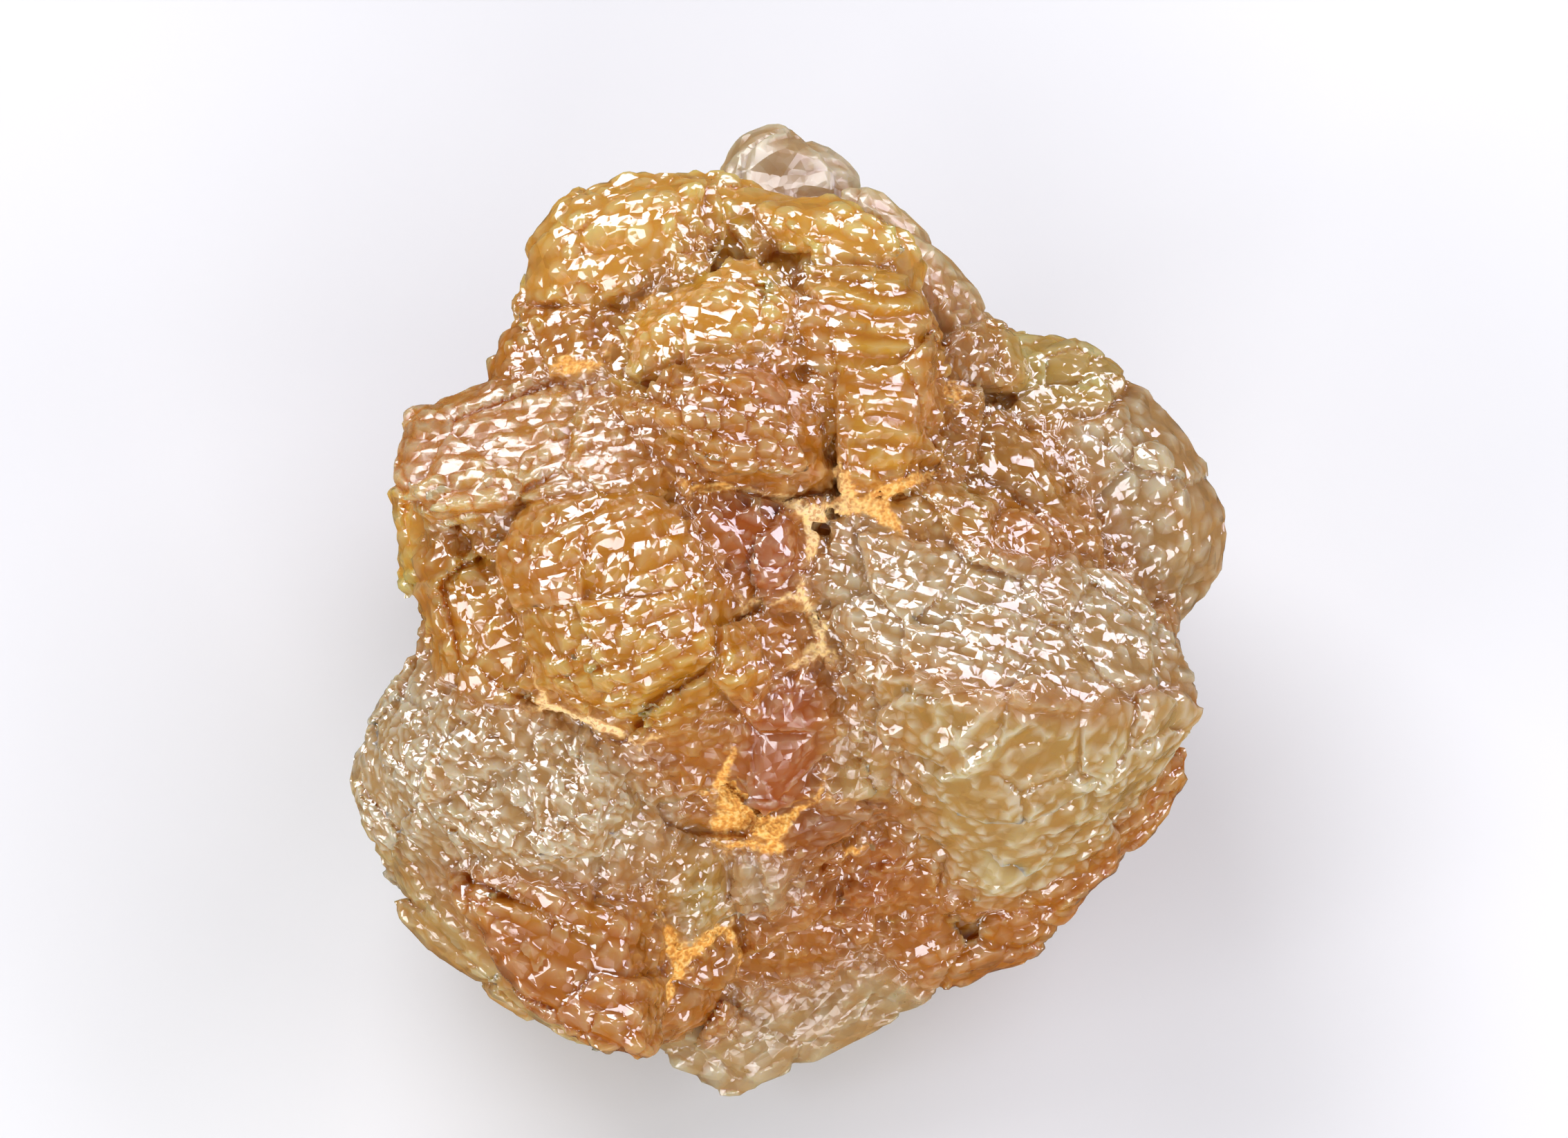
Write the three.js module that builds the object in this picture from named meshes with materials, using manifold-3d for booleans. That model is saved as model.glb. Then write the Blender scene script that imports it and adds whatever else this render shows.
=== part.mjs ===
// A rough diamond: a cluster of blocky golden-brown crystals grown together into one stone.
//
// Every crystal is a convex block: a broad face, a bevel round it and sides that run back into
// the stone, all a little uneven. Where a face is open to the air it carries rows of low
// pyramid-shaped hillocks; where they are long they make ledges. All of it is one solid. The stone
// lies on the flats at the foot of its lowest crystals.
//
// Millimetres. The crystals are laid out face on: x to the right, y up the face of the cluster
// and z out of it, from the middle of the cluster. The stone is then leaned back to lie down.

import * as THREE from "three";
import { ConvexGeometry } from "three/addons/geometries/ConvexGeometry.js";
import { mergeVertices } from "three/addons/utils/BufferGeometryUtils.js";
import Module from "manifold-3d";

const wasm = await Module();
wasm.setup();
const { Manifold, Mesh } = wasm;

// ---- Driving dimensions ----------------------------------------------------------------

const LEAN = THREE.MathUtils.degToRad(22); // how far the face of the cluster leans back from flat
const BASE_DEPTH = 4.8; // from the middle of the cluster down to the surface it lies on
const FACE_SHARE = 0.7; // size of a broad face, as a share of the outline of its crystal
const BEVEL_DROP = 0.55; // from a broad face back to the outline of its crystal
const BACK_SHARE = 0.66; // size of the far end of a crystal, as a share of its outline
const BACK_DRAW = 0.36; // how far the far end is drawn towards the middle of the cluster
const DEPTH = 3; // length of a crystal behind its outline
const UNEVEN = 0.07; // most that a corner is out of true
const BEVEL_SHARE = 0.65; // where the bevels of a side block begin, as a share of its half size
const HILLOCK_FILL = 0.52; // half length of a hillock, as a share of the spacing
const HILLOCK_SINK = 0.05; // how far the widest part of a hillock is sunk into the face
const HILLOCK_WANDER = 0.2; // how far a hillock strays from its row, as a share of the spacing
const HILLOCK_CLEAR = 0.1; // how far another crystal stays below a face that carries a hillock
const STEEPEST = 0.5; // least cosine between a face and the way it is looked at, to carry hillocks
const LARGEST_FACE = 4; // no face reaches further than this from its middle
const FAR_OUT = 50; // well outside the stone
const SMALLEST_FEATURE = 0.018; // slivers thinner than this are smoothed away

const DIAMOND = new THREE.MeshStandardMaterial({
  name: "diamond",
  color: 0xb9802f,
  roughness: 0.22,
  metalness: 0,
  flatShading: true,
});

// outline: corners of the crystal where it is widest, in order round it.
// top: height of its broad face. slope: how that face climbs to the right and upwards.
// drop, share, depth: as BEVEL_DROP, FACE_SHARE and DEPTH, where they differ.
// peaks: corners that stand in for the broad face.
// grain: hillock spacing along a row and between rows, height, and turn of the rows in degrees.
const CRYSTALS = [
  {
    name: "core", top: 0.9, drop: 0.8, depth: 3.4, share: 0.85,
    outline: [
      [-0.3, 5.7], [1.8, 4.6], [3.2, 3.2], [5, 2.3], [5.6, 1], [5.1, -1.2], [4.5, -3.2], [2.6, -4.6],
      [0.2, -5.7], [-2.2, -5.6], [-4.3, -4.8], [-5.3, -2.9], [-4.9, 1.3], [-3.6, 3.5], [-3, 5.1],
    ],
  },
  {
    name: "inner_core", top: 2.3, drop: 0.7, share: 0.8,
    outline: [
      [-4.3, 1.2], [-2.6, 4.1], [-0.5, 4.6], [1.5, 4.2], [2.5, 2.4], [3, 0.5], [2, -1.5], [0.9, -3.1],
      [-1.4, -4], [-3, -3], [-4.6, -1],
    ],
  },

  // Left of the middle
  {
    name: "great_scale", top: 4.7, slope: [0.06, 0.02], drop: 0.8, grain: [0.74, 0.46, 0.2, 17],
    outline: [
      [-4.45, 0.75], [-3.7, 1.6], [-2, 1.8], [-1.1, 0.6], [-0.6, -0.95], [-2.05, -1.75],
      [-3.4, -1.3],
    ],
  },
  {
    name: "left_step", top: 3.2, slope: [0.35, 0.1], grain: [0.62, 0.55, 0.22, 20],
    outline: [
      [-5.5, 0.65], [-4.8, 1], [-4, 0.4], [-3.45, -1.1], [-3.65, -1.55], [-4.55, -1.75],
      [-5.1, -1.05],
    ],
  },
  {
    name: "ledge_bank", top: 3.3, slope: [0.3, -0.75], drop: 0.4, share: 0.86,
    grain: [1.3, 0.36, 0.16, 4],
    outline: [
      [-5.7, 2.9], [-4.2, 3.35], [-2.7, 3.4], [-1.8, 2.6], [-2.2, 1.8], [-4.4, 1.35], [-5.3, 1.3],
      [-5.9, 1.8],
    ],
  },
  {
    name: "left_edge", top: 1.9, slope: [0.5, 0], grain: [0.5, 0.45, 0.16, 10],
    outline: [[-6, 1.75], [-5.1, 1.7], [-4.7, 0.9], [-5.2, 0.2], [-5.75, 0.2], [-5.95, 0.9]],
  },
  {
    name: "middle_block", top: 4.5, slope: [-0.1, 0.08], drop: 0.7, grain: [0.8, 0.44, 0.18, -14],
    outline: [
      [-2.3, 2.9], [-1.6, 3.55], [-0.1, 3.6], [0.55, 2.5], [0.6, 1.8], [-0.4, 1.7], [-1.6, 2.1],
    ],
  },
  {
    name: "red_lens", top: 4.1, slope: [-0.1, 0.1], drop: 0.6,
    outline: [
      [-1.4, 1.4], [-0.95, 1.7], [-0.15, 1.5], [0.2, 0.75], [-0.15, 0.15], [-0.6, 0.05],
      [-1.1, 0.7],
    ],
  },
  {
    name: "heart", top: 3.6, drop: 0.4,
    outline: [[-0.7, 0.1], [0.1, 0.1], [0.35, -0.4], [0, -0.9], [-0.6, -0.9], [-0.85, -0.4]],
  },

  // Towards the top
  {
    name: "top_left_block", top: 2.6, slope: [0.25, -0.2], drop: 0.7, grain: [0.6, 0.5, 0.18, 10],
    outline: [
      [-3.3, 6.25], [-2.2, 6.45], [-1.3, 6.3], [-1.5, 5.2], [-2.5, 4.4], [-3.8, 4.4], [-3.95, 5.4],
    ],
  },
  {
    name: "top_middle", top: 2.2, slope: [0, -0.3], grain: [0.65, 0.45, 0.16, -8],
    outline: [[-2.2, 6.3], [-0.9, 6.5], [0.3, 6], [0.1, 4.9], [-1.5, 4.9], [-2.1, 5.5]],
  },
  {
    name: "shoulder", top: 2.4, slope: [0.3, -0.2], grain: [0.55, 0.45, 0.16, 0],
    outline: [[-4.45, 4.1], [-3.7, 4.6], [-2.4, 4.5], [-2.4, 3.4], [-3.6, 3.1], [-4.45, 3.4]],
  },
  {
    name: "crest", top: 3.7, slope: [0, -0.25], drop: 0.5, grain: [0.52, 0.42, 0.17, -8],
    outline: [[-2.4, 4.1], [-1.5, 4.9], [-0.5, 5], [0.2, 4.45], [-0.1, 3.7], [-1.3, 3.5], [-2.3, 3.4]],
  },
  {
    name: "top_right_ridge", top: 2.7, slope: [-0.2, -0.25], grain: [0.55, 0.45, 0.2, -20],
    outline: [[-0.5, 5.95], [0.65, 6.15], [1.8, 5.75], [2.2, 5.15], [1.8, 4.75], [0.2, 5.1]],
  },
  {
    name: "stair_block", top: 3.5, slope: [-0.15, -0.05], drop: 0.6, share: 0.78,
    grain: [1.5, 0.44, 0.24, -4],
    outline: [
      [0.3, 4.95], [1.6, 5.05], [2.3, 4.35], [2.15, 3.3], [1.95, 2.15], [1.05, 1.55], [0.55, 2.15],
      [0.15, 3.9],
    ],
  },
  {
    name: "tip", top: -0.4, slope: [0, -0.3], drop: 0.7,
    outline: [
      [-0.75, 7.05], [-0.2, 7.35], [0.5, 7.15], [1.1, 6.6], [0.9, 5.6], [-0.6, 5.6], [-0.95, 6.5],
    ],
  },
  {
    name: "top_right_flank", top: 0.8, slope: [-0.4, -0.3],
    outline: [[1, 6.55], [2, 5.85], [2.95, 4.75], [3.15, 4], [2.4, 3.3], [1.4, 3.8], [0.6, 5.6]],
  },

  // Right side
  {
    name: "round_knob", top: 1.3, slope: [-0.1, 0], drop: 1.3, share: 0.55,
    grain: [0.55, 0.5, 0.22, 32],
    outline: [
      [3.6, 3.6], [5.1, 3.5], [6.25, 2.4], [6.78, 1.35], [6.65, 0.4], [5.9, -0.35], [4.9, -0.3],
      [3.6, 1.2],
    ],
  },
  {
    name: "knob_head", top: 1.1, slope: [-0.1, -0.2], drop: 0.7,
    outline: [[3.15, 4.05], [4.5, 4.05], [5.2, 3.4], [4.9, 2.6], [3.6, 2.2], [3.1, 3]],
  },
  {
    name: "saddle", top: 2.3, slope: [-0.25, -0.15], grain: [0.45, 0.4, 0.15, 0],
    outline: [[2, 2.1], [2.7, 2.5], [3.7, 2.6], [4.4, 1.6], [4.8, 0.6], [3.7, 0.5], [1.7, 1.2]],
  },
  {
    name: "web", top: 1.2, slope: [-0.2, 0],
    outline: [[2, 3.8], [3.1, 4], [3.7, 2.4], [2.6, 1.8], [1.8, 2.2]],
  },
  {
    name: "red_chip", top: 3.2, slope: [-0.2, 0], drop: 0.3,
    outline: [[3.1, 1.25], [3.7, 1.4], [4.1, 0.9], [3.6, 0.4], [3.1, 0.6]],
  },
  {
    name: "shelf", top: 3.4, slope: [-0.05, -0.1], drop: 0.3, grain: [0.45, 0.35, 0.1, -10],
    outline: [[1.5, 1.35], [2.3, 1.65], [3.1, 1.5], [3.1, 0.8], [1.5, 0.8]],
  },
  {
    name: "great_table", top: 2.6, slope: [-0.14, 0.42], depth: 4, grain: [0.64, 0.5, 0.16, -16],
    outline: [
      [0.3, 0.7], [1, 1.1], [2.9, 0.9], [4.85, 0.4], [5.95, -0.5], [6.15, -1.5], [5.2, -2.2],
      [2.2, -1.9], [0.7, -0.9],
    ],
    peaks: [
      [0.8, 0.5, 3.7], [2.8, 0.5, 3.8], [4.8, -0.1, 3.1], [5.6, -1, 2.7], [4.5, -1.5, 4],
      [3.1, -1.4, 4.8], [1.4, -0.5, 4.2],
    ],
  },
  {
    name: "great_point", top: 1.9, slope: [-0.14, 0.42], depth: 4,
    outline: [
      [0.9, -0.9], [3, -0.6], [5.6, -1], [6.15, -1.6], [5.6, -2.7], [4.5, -3.8], [3.8, -4.4],
      [3, -4.3], [2, -3.2], [1.5, -2.2],
    ],
    peaks: [
      [1.4, -0.9, 4], [3.1, -1.3, 4.75], [4.5, -1.5, 3.95], [5.7, -1.5, 2.7], [3, -2.4, 4.2],
      [4.6, -2.7, 3.1], [3.6, -3.9, 2], [2.3, -2.6, 3.5],
    ],
  },
  {
    name: "under_point", top: 0.9, slope: [-0.2, 0.2], grain: [0.55, 0.45, 0.16, 40],
    outline: [[5, -1.9], [6.2, -2.3], [6, -2.95], [5.1, -4], [4.2, -4.9], [3.4, -4.6], [4, -3.4]],
  },
  {
    name: "lower_right_lumps", top: 0.3, slope: [0, 0.2], grain: [0.55, 0.48, 0.18, 20],
    outline: [
      [1.5, -4.5], [2.2, -4], [3.4, -3.9], [4.4, -4.7], [3.6, -5.45], [2.3, -5.95], [1.3, -5.5],
    ],
  },

  // Lower side of the face
  {
    name: "left_lobe", top: 3, slope: [0.2, 0.06], drop: 1.3, share: 0.6, depth: 4,
    grain: [0.64, 0.5, 0.15, -35],
    outline: [
      [-6.6, -2.3], [-6, -1.3], [-5.2, -0.8], [-4, -1], [-2.4, -1.5], [-1.8, -2.3], [-1.6, -3.4],
      [-2.2, -4.3], [-3.4, -4.6], [-5.1, -4.3], [-6.3, -3.4],
    ],
  },
  {
    name: "lower_left_flank", top: 1.2, slope: [0.3, 0.3], drop: 0.7, grain: [0.6, 0.45, 0.14, -35],
    outline: [
      [-6.65, -2.6], [-6.15, -4.15], [-5.5, -5.35], [-4, -6.35], [-2.1, -6.9], [-2.4, -4.5],
      [-4.8, -2.6],
    ],
  },
  {
    name: "wedge", top: 2.7, slope: [0.1, 0.12], drop: 0.35, share: 0.86, depth: 5.5,
    grain: [0.64, 0.6, 0.26, -30],
    outline: [[-5.1, -4.2], [-3.6, -4.2], [-2.3, -4.6], [-2.05, -6.85], [-2.7, -6.75], [-4.1, -5.9]],
  },
  {
    name: "pale_foot", top: -0.1, slope: [0, 0.35], drop: 0.5, grain: [1, 0.5, 0.14, 40],
    outline: [
      [-1, -4.6], [0.9, -4.5], [2.5, -5.2], [2.5, -5.8], [1.4, -6.25], [0.4, -7.15], [-0.75, -7.6],
      [-1.25, -7.4], [-2.2, -6.8], [-2, -5.4],
    ],
  },
  {
    name: "stained_heap", top: 1.1, slope: [-0.1, 0.3], grain: [0.5, 0.44, 0.14, 12],
    outline: [[-2.4, -4.5], [-1.4, -4.4], [-0.9, -5.2], [-1.2, -6.4], [-2.3, -6.9]],
  },
  {
    name: "smooth_lump", top: 3.2, slope: [0, 0.25], drop: 0.6, share: 0.6,
    outline: [[-2, -1.2], [-1, -0.9], [-0.55, -1.4], [-0.7, -2.4], [-1.5, -2.7], [-2.05, -2.2]],
  },
  {
    name: "smooth_prism", top: 3.4, slope: [0, 0.2], drop: 0.4, share: 0.6,
    outline: [
      [-0.6, -0.9], [0.2, -0.7], [0.6, -1.2], [0.4, -2.5], [-0.1, -3.1], [-0.7, -2.9],
      [-0.75, -1.8],
    ],
  },
  {
    name: "beige_wedge", top: 2.9, slope: [0.1, 0.2], drop: 0.4,
    outline: [[0.4, -0.9], [1.1, -1.1], [1.8, -2.2], [1.6, -3], [0.8, -2.9], [0.4, -2.2]],
  },
  {
    name: "brown_step", top: 2.1, slope: [0, 0.2], drop: 0.3,
    outline: [[-1.7, -2.5], [-0.6, -2.6], [0.2, -3], [0, -3.6], [-1.2, -3.5]],
  },
  {
    name: "blade", top: 2.3, slope: [0.1, 0.5], drop: 0.25,
    outline: [[-0.1, -3.4], [1.2, -2.9], [1.7, -3], [1, -3.5], [0.2, -3.75]],
  },
  {
    name: "tooth", top: 1.9, slope: [0.1, 0], drop: 0.35, share: 0.4,
    outline: [[-1.05, -3.3], [-0.6, -3.5], [-0.1, -4], [-0.3, -4.5], [-0.85, -4.4]],
  },
  {
    name: "glitter_block", top: 2, slope: [-0.1, 0.2], drop: 0.3, grain: [0.44, 0.4, 0.12, 30],
    outline: [[-2.2, -3.3], [-1.4, -3.2], [-0.9, -3.9], [-0.9, -4.5], [-1.5, -4.9], [-2.2, -4.2]],
  },
  {
    name: "root", top: 1, slope: [0, 0.2], drop: 0.4,
    outline: [[-0.4, -3.7], [0.6, -3.5], [1.7, -3.2], [1.9, -4], [1.2, -4.9], [-0.2, -5]],
  },
];

// Blocks of the sides and the underside, down to the flats that the stone lies on. at: middle of
// the block. half: half sizes along its own axes. facing: the way it looks. spin: turn about that.
const BLOCKS = [
  {
    name: "back_foot_right", at: [2, 2, -3.9], half: [2, 1.9, 1.9],
    facing: [0.2, 0.8, -0.65], spin: 20, grain: [1, 0.85, 0.18, 0],
  },
  {
    name: "back_foot_left", at: [-2.3, 1.9, -3.8], half: [1.9, 1.9, 1.9],
    facing: [-0.3, 0.75, -0.65], spin: -12, grain: [1, 0.85, 0.18, 15],
  },
  {
    name: "front_foot", at: [0.1, -2.6, -2.2], half: [2.3, 1.9, 2.1],
    facing: [0.1, -0.4, -1], spin: 30,
  },
  {
    name: "right_haunch", at: [3.9, -1, -2.2], half: [1.5, 1.8, 1.7],
    facing: [0.7, -0.2, -1], spin: -20, grain: [0.9, 0.8, 0.18, 20],
  },
  {
    name: "left_haunch", at: [-3.8, -1.4, -2.3], half: [1.5, 1.7, 1.6],
    facing: [-0.6, -0.2, -1], spin: 25, grain: [0.9, 0.8, 0.18, -15],
  },
  {
    name: "back_right", at: [4.5, 1.3, -1.6], half: [1.5, 1.5, 1.5],
    facing: [1, 0.3, -0.5], spin: 15, grain: [0.8, 0.7, 0.2, 30],
  },
  {
    name: "right_cheek", at: [4.3, -1.9, -0.8], half: [1.5, 1.4, 1.4],
    facing: [1, -0.3, -0.3], spin: -25, grain: [0.8, 0.7, 0.2, 0],
  },
  {
    name: "lower_right_cheek", at: [2.6, -3.8, -1.4], half: [1.5, 1.2, 1.4],
    facing: [0.5, -0.8, -0.35], spin: 10, grain: [0.8, 0.6, 0.18, 25],
  },
  {
    name: "chin", at: [0, -4.9, -1.9], half: [1.6, 1.2, 1.6],
    facing: [0, -1, -0.3], spin: -15,
  },
  {
    name: "lower_left_cheek", at: [-2.9, -4.6, -1.3], half: [1.6, 1.3, 1.4],
    facing: [-0.5, -0.9, -0.3], spin: 20, grain: [0.8, 0.7, 0.18, -20],
  },
  {
    name: "left_jowl", at: [-4.8, -2.9, -1.1], half: [1.4, 1.3, 1.5],
    facing: [-1, -0.2, -0.3], spin: -15, grain: [0.8, 0.6, 0.18, 0],
  },
  {
    name: "left_temple", at: [-3.9, 0.9, -0.9], half: [1.5, 1.4, 1.5],
    facing: [-1, 0, -0.4], spin: 25, grain: [0.8, 0.7, 0.2, 20],
  },
  {
    name: "back_left", at: [-2.8, 3, -1.2], half: [1.3, 1.4, 1.4],
    facing: [-0.8, 0.6, -0.3], spin: 0, grain: [0.8, 0.7, 0.2, -25],
  },
  {
    name: "nape_left", at: [-1.5, 4.6, -0.9], half: [1.4, 1.3, 1.4],
    facing: [-0.3, 1, -0.2], spin: 30,
  },
  {
    name: "nape_right", at: [0.7, 4.3, -2.3], half: [1.3, 1.4, 1.6],
    facing: [0.2, 0.9, -0.6], spin: -20, grain: [1, 0.85, 0.18, 0],
  },
  {
    name: "back_corner", at: [2.6, 2.6, -1.7], half: [1.2, 1.3, 1.3],
    facing: [0.7, 0.7, -0.3], spin: 15, grain: [0.8, 0.7, 0.18, 35],
  },
];

// ---- Small helpers ---------------------------------------------------------------------

/** A repeatable uneven number from -1 to 1 for each pair of whole numbers. */
function uneven(a, b) {
  const wave = Math.sin(a * 12.9898 + b * 78.233 + 0.5) * 43758.5453;
  return 2 * (wave - Math.floor(wave)) - 1;
}

/** The average of some [x, y] points. */
function middleOf(points) {
  return [0, 1].map((k) => points.reduce((sum, p) => sum + p[k], 0) / points.length);
}

/** A closed three.js geometry as a solid that can be joined and cut. */
function solidOf(geometry) {
  for (const name of ["normal", "uv"]) geometry.deleteAttribute(name);
  const merged = mergeVertices(geometry, 1e-5);
  return new Manifold(
    new Mesh({
      numProp: 3,
      vertProperties: merged.attributes.position.array,
      triVerts: new Uint32Array(merged.index.array),
    }),
  );
}

/** The smallest convex solid round some points. */
function hullOf(points) {
  return solidOf(new ConvexGeometry(points));
}

/** The three axes of a frame: z as given, x to the right as near as may be, turned by spin. */
function axesOf(facing, spin) {
  const z = new THREE.Vector3(...facing).normalize();
  const x = new THREE.Vector3(1, 0, 0).addScaledVector(z, -z.x);
  if (x.length() < 0.5) x.set(0, 1, 0).addScaledVector(z, -z.y);
  x.normalize().applyAxisAngle(z, THREE.MathUtils.degToRad(spin));
  return [x, new THREE.Vector3().crossVectors(z, x), z];
}

/** The triangles of a solid. */
function trianglesOf(solid) {
  const mesh = solid.getMesh();
  const corner = (i) => new THREE.Vector3().fromArray(mesh.vertProperties, mesh.triVerts[i] * mesh.numProp);
  const made = [];
  for (let i = 0; i < mesh.triVerts.length; i += 3)
    made.push(new THREE.Triangle(corner(i), corner(i + 1), corner(i + 2)));
  return made;
}

/** Where a line coming in along -z past a point enters a convex set of triangles, or null. */
function surfaceAt(triangles, past, z) {
  const ray = new THREE.Ray(past.clone().addScaledVector(z, FAR_OUT), z.clone().negate());
  for (const triangle of triangles) {
    const point = ray.intersectTriangle(triangle.a, triangle.b, triangle.c, true, new THREE.Vector3());
    if (point) return { point, height: point.dot(z), normal: triangle.getNormal(new THREE.Vector3()) };
  }
  return null;
}

// ---- Crystals --------------------------------------------------------------------------

/** A ring of corners in one plane: the outline drawn in to a share of its size, and raised. */
function ringOf({ outline, top, slope = [0, 0] }, share, raised, index) {
  const [x, y] = middleOf(outline);
  const jitter = share < 1 ? UNEVEN : 0;
  return outline.map((corner, i) => {
    const u = share * (corner[0] - x) + jitter * uneven(index, 2 * i);
    const v = share * (corner[1] - y) + jitter * uneven(index, 2 * i + 1);
    return new THREE.Vector3(x + u, y + v, top + raised + slope[0] * u + slope[1] * v);
  });
}

/** The block of one crystal of the face, without its hillocks. */
function blockOf(crystal, index) {
  const { drop = BEVEL_DROP, share = FACE_SHARE, depth = DEPTH, peaks } = crystal;
  const face = peaks ? peaks.map((p) => new THREE.Vector3(...p)) : ringOf(crystal, share, 0, index);
  const widest = ringOf(crystal, 1, peaks ? 0 : -drop, index);
  const back = ringOf(crystal, BACK_SHARE, -drop - depth, index);
  const [x, y] = middleOf(crystal.outline);
  const draw = new THREE.Vector3(-BACK_DRAW * x, -BACK_DRAW * y, 0);
  return hullOf([...face, ...widest, ...back.map((p) => p.add(draw))]);
}

/** Whether another block covers a point on the surface of block number index, seen along -z. */
function isCovered(point, z, shapes, index) {
  const top = point.dot(z) - HILLOCK_CLEAR;
  return shapes.some((shape, i) => i !== index && (surfaceAt(shape, point, z)?.height ?? -FAR_OUT) > top);
}

/** One low pyramid on a face, sunk a little into it; size is [length, width, height]. */
function pyramidAt({ point, normal }, along, size) {
  const side = along.clone().addScaledVector(normal, -along.dot(normal)).normalize();
  const up = new THREE.Vector3().crossVectors(normal, side);
  const foot = point.clone().addScaledVector(normal, -HILLOCK_SINK);
  const pyramid = new THREE.OctahedronGeometry(1);
  pyramid.scale(size[0], size[1], size[2] + HILLOCK_SINK);
  pyramid.applyMatrix4(new THREE.Matrix4().makeBasis(side, up, normal).setPosition(foot));
  return solidOf(pyramid);
}

/** Rows of low pyramids over one block, wherever it is open to the air. */
function hillocksOn({ grain, middle, facing, spin }, shapes, index) {
  const [along, across, height, turn] = grain;
  const [x, y, z] = axesOf(facing, spin + turn);
  const rows = Math.ceil(LARGEST_FACE / across);
  const columns = Math.ceil(LARGEST_FACE / along);
  const made = [];
  for (let row = -rows; row <= rows; row++)
    for (let column = -columns; column <= columns; column++) {
      const u = column + 0.5 * (row & 1) + HILLOCK_WANDER * uneven(row + index, column);
      const v = row + HILLOCK_WANDER * uneven(column, row - index);
      const past = middle.clone().addScaledVector(x, u * along).addScaledVector(y, v * across);
      const spot = surfaceAt(shapes[index], past, z);
      if (!spot || spot.normal.dot(z) < STEEPEST || isCovered(spot.point, z, shapes, index)) continue;
      const fill = HILLOCK_FILL * (1 + HILLOCK_WANDER * uneven(row * 7 + column, index));
      made.push(pyramidAt(spot, x, [fill * along, fill * across, height]));
    }
  return made;
}

/** A block of the sides or the underside: every corner bevelled, leaned and turned. */
function sideBlock({ at, half, facing, spin }, index) {
  const axes = axesOf(facing, spin);
  const points = [];
  for (const s of [1, -1])
    for (const t of [1, -1])
      for (const w of [1, -1])
        for (const whole of [0, 1, 2]) {
          const corner = new THREE.Vector3(...at);
          [s, t, w].forEach((sign, k) => {
            const share = k === whole ? 1 : BEVEL_SHARE;
            const jitter = 1 + UNEVEN * uneven(index, 3 * points.length + k);
            corner.addScaledVector(axes[k], sign * share * jitter * half[k]);
          });
          points.push(corner);
        }
  return hullOf(points);
}

// ---- The stone -------------------------------------------------------------------------

/** What hillocks need to know of a crystal of the face, which is looked at straight on. */
function openFace(crystal) {
  const middle = new THREE.Vector3(...middleOf(crystal.outline), 0);
  return { grain: crystal.grain, middle, facing: [0, 0, 1], spin: 0 };
}

/** What hillocks need to know of a side block, which is looked at along its own facing. */
function openSide(block) {
  return { ...block, middle: new THREE.Vector3(...block.at) };
}

/** All the crystals joined into one solid and cut flat where the stone lies, pockets filled. */
function growStone() {
  const blocks = [...CRYSTALS.map(blockOf), ...BLOCKS.map(sideBlock)];
  const shapes = blocks.map(trianglesOf);
  const open = [...CRYSTALS.map(openFace), ...BLOCKS.map(openSide)];
  const hillocks = open.flatMap((face, i) => (face.grain ? hillocksOn(face, shapes, i) : []));
  const up = [0, Math.sin(LEAN), Math.cos(LEAN)];
  const cluster = Manifold.union([...blocks, ...hillocks])
    .trimByPlane(up, -BASE_DEPTH)
    .asOriginal()
    .simplify(SMALLEST_FEATURE);
  return cluster.decompose().reduce((a, b) => (a.volume() > b.volume() ? a : b));
}

/** A solid as a three.js geometry. */
function geometryOf(solid) {
  const { vertProperties, triVerts } = solid.getMesh();
  return new THREE.BufferGeometry()
    .setAttribute("position", new THREE.BufferAttribute(vertProperties, 3))
    .setIndex(new THREE.BufferAttribute(triVerts, 1));
}

const stone = new THREE.Mesh(geometryOf(growStone()), DIAMOND);
stone.name = "rough_diamond";
stone.rotation.x = LEAN;

// The origin is on the surface that the stone lies on, below the middle of the stone.
const cluster = new THREE.Group();
cluster.add(stone);
const box = new THREE.Box3().setFromObject(cluster, true);
stone.position.set(-(box.min.x + box.max.x) / 2, -(box.min.y + box.max.y) / 2, -box.min.z);

export default cluster;
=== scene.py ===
"""Rough diamond: crystals grown together into one honey-coloured stone, on a pale floor.

The shape is a distance field, worked out as whole arrays: the nearest of many rounded convex
crystals, each with the growth relief of its own kind on it. Distances are in millimetres, in the
frame of the stone's face: x to the right, y up across the face, z out of it. The last step turns
them into metres in the part's own frame.
"""
import itertools
import math

import bpy
import mathutils
import numpy as np
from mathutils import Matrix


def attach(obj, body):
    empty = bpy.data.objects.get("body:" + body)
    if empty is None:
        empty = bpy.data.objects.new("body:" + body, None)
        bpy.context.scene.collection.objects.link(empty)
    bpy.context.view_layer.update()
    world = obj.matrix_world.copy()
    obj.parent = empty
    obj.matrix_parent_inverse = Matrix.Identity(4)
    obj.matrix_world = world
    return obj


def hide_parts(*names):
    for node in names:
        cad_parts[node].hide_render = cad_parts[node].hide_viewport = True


MM = 0.001
LEAN = math.radians(22)  # how far the face of the cluster leans back from flat
STAND = (0.0227, -0.0491, 4.8)  # where the middle of the face's frame stands in the part's frame
BASE_DEPTH = 4.8  # from the middle of the cluster down to the surface it lies on
FACE_SHARE = 0.7  # size of a broad face, as a share of the outline of its crystal
BEVEL_DROP = 0.55  # from a broad face back to the outline of its crystal
BACK_SHARE = 0.66  # size of the far end of a crystal, as a share of its outline
BACK_DRAW = 0.36  # how far the far end is drawn towards the middle of the cluster
DEPTH = 3  # length of a crystal behind its outline
UNEVEN = 0.07  # most that a corner is out of true
BEVEL_SHARE = 0.65  # where the bevels of a side block begin, as a share of its half size
COARSE_STEP = 0.36  # spacing of the first grid, which only finds where the surface is
MIDDLE_STEP = 0.16  # spacing of the second grid, worked out in a band round the surface
GRID_STEP = 0.056  # spacing of the last, which the surface is drawn from
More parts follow.
